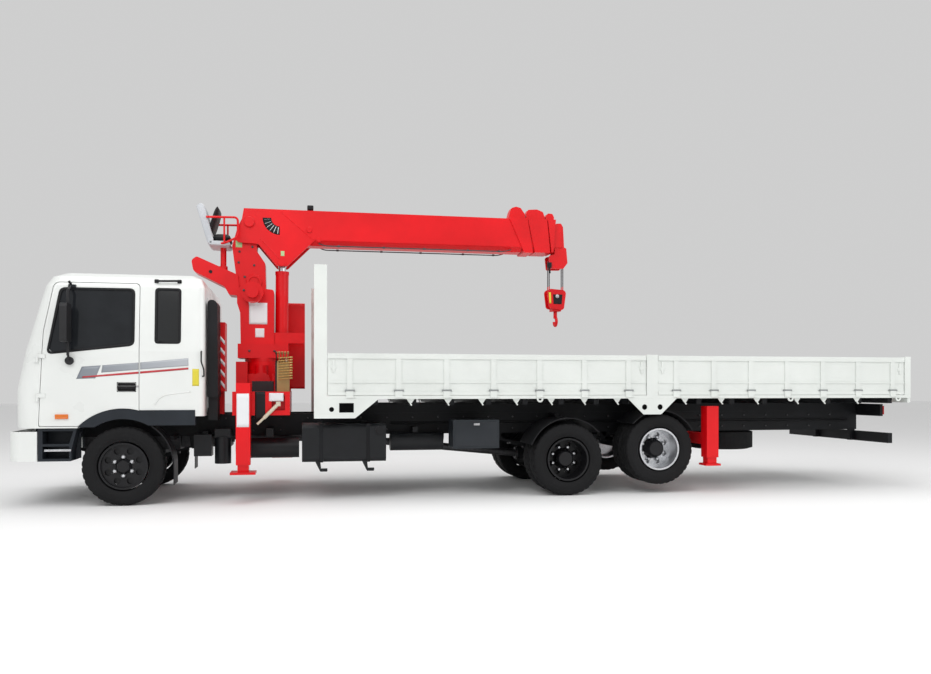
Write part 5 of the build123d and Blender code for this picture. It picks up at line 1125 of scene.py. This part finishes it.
def add_seat():
    """The operator's seat: shell, two pads, post and the red guard rails."""
    form = bmesh.new()
    for outline in (SEAT_PAN, SEAT_BACK):
        near = [form.verts.new((at(station), -SEAT_HALF, z)) for station, z in outline]
        far = [form.verts.new((at(station), SEAT_HALF, z)) for station, z in outline]
        close_rings(form, [near, far])
    edges = list(form.edges)
    bmesh.ops.bevel(form, geom=edges, offset=SHELL_EDGE, segments=3, affect="EDGES", profile=0.6)
    add_piece("seat_shell", form, SEAT_SHELL, "slewing_column", ["top_seat"])
    add_seat_pads()
    form = bmesh.new()
    station_tube(form, SEAT_POST, SEAT_POST_RADIUS, 24)
    for side, word in SIDES:
        add_tube(form, rounded_path(side_path(RAIL_LOOP, side), RAIL_BEND), RAIL_RADIUS)
        add_tube(form, side_path(RAIL_STAY, side), RAIL_STAY_RADIUS)
    add_piece("seat_rails", form, RED, "slewing_column")


# Chassis and bed

# The frame, the tank and the toolbox
FRAME_BOLT_FIRST = 1.0
FRAME_BOLT_PITCH = 0.31
FRAME_BOLT_HEIGHTS = (0.76, 0.9)
FRAME_BOLT = (0.012, 0.014)
FRAME_REACH = 0.5
FRAME_REAR = 9.0
FRAME_PIPES = [(0.84, 0.44), (0.82, 0.445)]
FRAME_PIPE_FRONT = 2.9
TANK_BANDS = (2.07, 2.59)
TANK_BAND = (-0.025, 0.025, 0.475, 1.024, 0.421, 0.854)
TANK_CAP_PLACE = (2.72, 0.77)
TANK_CAP = [(1.0, 0.05), (1.035, 0.05), (1.04, 0.04), (1.04, NEAR_AXIS), (1.0, NEAR_AXIS)]
BOX_LID = (3.585, 4.08, 1.008, 1.016, 0.58, 0.858)
BOX_LOCK = (3.8, 3.87, 1.014, 1.03, 0.82, 0.845)

# The bed; latches as blocks round a station
STILE_COUNT = 7
STILES = [("front", 2.376, 0.54), ("rear", 6.213, 0.482)]
HINGE_HEIGHT = 1.222
HINGE_HALF = 0.055
HINGE_SUNK = 0.012
HINGE_RADIUS = 0.011
EYE_STATIONS = (4.54, 7.7, 9.18)
EYE_HEIGHT = 1.125
EYE_INSET = 0.02
EYE_PROFILE = [(0, 0.038), (0.01, 0.038), (0.01, 0.019), (0, 0.019)]
LATCHES = [("front", (2.2, 5.78)), ("rear", (6.04, 9.21))]
LATCH_PROBE = 1.5
LATCH_BLOCKS = [(-0.012, 0.012, -0.002, 0.012, 1.42, 1.56)]
LATCH_BLOCKS += [(-0.03, 0.03, -0.002, 0.008, 1.46, 1.5)]
REAR_PLATE = (9.189, 9.2, -PLATE_HALF, PLATE_HALF, 0.91, 1.02)


def add_frame_details():
    """Bolts and pipes along the frame."""
    form = bmesh.new()
    skin = skin_of("frame")
    for side, word in SIDES:
        station = FRAME_BOLT_FIRST
        while station < FRAME_REAR:
            for height in FRAME_BOLT_HEIGHTS:
                depth = side_surface(skin, station, height, side)
                if abs(depth) < FRAME_REACH:
                    place = (at(station), depth, height)
                    add_nut(form, place, (0, side, 0), *FRAME_BOLT)
            station += FRAME_BOLT_PITCH
    add_piece("frame_bolts", form, IRON, "chassis")
    form = bmesh.new()
    for height, depth in FRAME_PIPES:
        for y in (depth, -depth):
            points = [(FRAME_PIPE_FRONT, y, height), (FRAME_REAR, y, height)]
            station_tube(form, points, PIPE_RADIUS, 8)
    add_piece("frame_pipes", form, PLASTIC, "chassis")


def add_chassis_details():
    """The frame's bolts and pipes, the tank's bands and cap, the toolbox's lid and lock."""
    add_frame_details()
    form = bmesh.new()
    for station in TANK_BANDS:
        side_block(form, station, 0, 1, TANK_BAND, 0.012)
    add_piece("tank_bands", form, BLACK, "chassis")
    form = bmesh.new()
    add_lathe(form, TANK_CAP, *TANK_CAP_PLACE, 32)
    add_piece("tank_cap", form, PLASTIC, "chassis")
    form = bmesh.new()
    station_block(form, *BOX_LID, 0.003)
    add_piece("box_lid", form, SLATE, "chassis")
    form = bmesh.new()
    station_block(form, *BOX_LOCK, 0.004)
    add_piece("box_lock", form, STEEL, "chassis")


def add_hinges(side, word):
    """The hinge barrels at the foot of one side's gates, and the lashing eyes under the bed."""
    for kind, first, pitch in STILES:
        low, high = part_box(f"{kind}_gate_{word}")
        face = (high if side > 0 else low)[1] - side * HINGE_SUNK
        form = bmesh.new()
        for index in range(STILE_COUNT):
            station = first + pitch * index
            ends = [(station - HINGE_HALF, face, HINGE_HEIGHT), (station + HINGE_HALF, face, HINGE_HEIGHT)]
            station_tube(form, ends, HINGE_RADIUS)
        add_piece(f"hinges_{kind}_{word}", form, GREY, f"{kind}_gate_{word}")
    form = bmesh.new()
    low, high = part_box("bed_floor")
    edge = (high if side > 0 else low)[1] - side * EYE_INSET
    for station in EYE_STATIONS:
        add_cap(form, (station, EYE_HEIGHT), edge, side, EYE_PROFILE, 28)
    add_piece(f"lashing_eyes_{word}", form, BED_WHITE, "chassis")


def add_latches(side, word):
    """The latches near the ends of one side's gates."""
    gate = skin_of(f"front_gate_{word}", f"rear_gate_{word}")
    for kind, stations in LATCHES:
        form = bmesh.new()
        for station in stations:
            depth = side_surface(gate, station, LATCH_PROBE, side)
            for block in LATCH_BLOCKS:
                side_block(form, station, depth, side, block, 0.004)
        add_piece(f"latches_{kind}_{word}", form, BED_WHITE, f"{kind}_gate_{word}")


def add_bed_details():
    """Hinges, lashing eyes and latches on both sides, and the blank plate at the back."""
    for side, word in SIDES:
        add_hinges(side, word)
    for side, word in SIDES:
        add_latches(side, word)
    form = bmesh.new()
    station_block(form, *REAR_PLATE, 0.004)
    add_piece("rear_plate", form, LABEL, "chassis")


# Picture


def add_camera():
    """The photograph's camera: level, turned a little to the rear."""
    data = bpy.data.cameras.new("camera")
    data.lens = CAMERA_LENS
    data.sensor_width = CAMERA_SENSOR
    data.shift_y = CAMERA_SHIFT
    camera = add_object("camera", data)
    camera.location = (at(CAMERA_STATION), CAMERA_SIDE, CAMERA_HEIGHT)
    turn = radians(CAMERA_TURN)
    look = Vector((-sin(turn), -cos(turn), 0))
    camera.rotation_euler = look.to_track_quat("-Z", "Y").to_euler()
    bpy.context.scene.camera = camera


def add_light(name, place, target, size, power):
    """A square soft light that faces a point."""
    data = bpy.data.lights.new(name, "AREA")
    data.size = size
    data.energy = power
    light = add_object(name, data)
    light.location = place
    light.rotation_euler = (Vector(target) - Vector(place)).to_track_quat("-Z", "Y").to_euler()


def add_studio():
    """A pale floor, a pale surround and soft lights."""
    mesh = bpy.data.meshes.new("floor")
    corners = [(FLOOR_HALF * x, FLOOR_HALF * y, 0) for x, y in ((-1, -1), (1, -1), (1, 1), (-1, 1))]
    mesh.from_pydata(corners, [], [(0, 1, 2, 3)])
    floor = add_object("floor", mesh)
    material, nodes, links, shader = new_material("floor")
    shader.inputs["Base Color"].default_value = (0.9, 0.9, 0.9, 1)
    shader.inputs["Roughness"].default_value = 0.9
    floor.data.materials.append(material)
    world = bpy.data.worlds.new("surround")
    world.use_nodes = True
    background = world.node_tree.nodes["Background"]
    background.inputs["Color"].default_value = (1, 1, 1, 1)
    background.inputs["Strength"].default_value = SURROUND
    bpy.context.scene.world = world
    for name, place, target, size, power in LIGHTS:
        add_light(name, place, target, size, power)
    bpy.context.scene.view_settings.view_transform = "Standard"


dress_nodes()
add_tyres()
add_wheel_trim()
add_side_trim()
add_front_trim()
add_column_details()
add_boom_details()
add_hook_details()
add_base_details()
add_seat()
add_chassis_details()
add_bed_details()
add_camera()
add_studio()
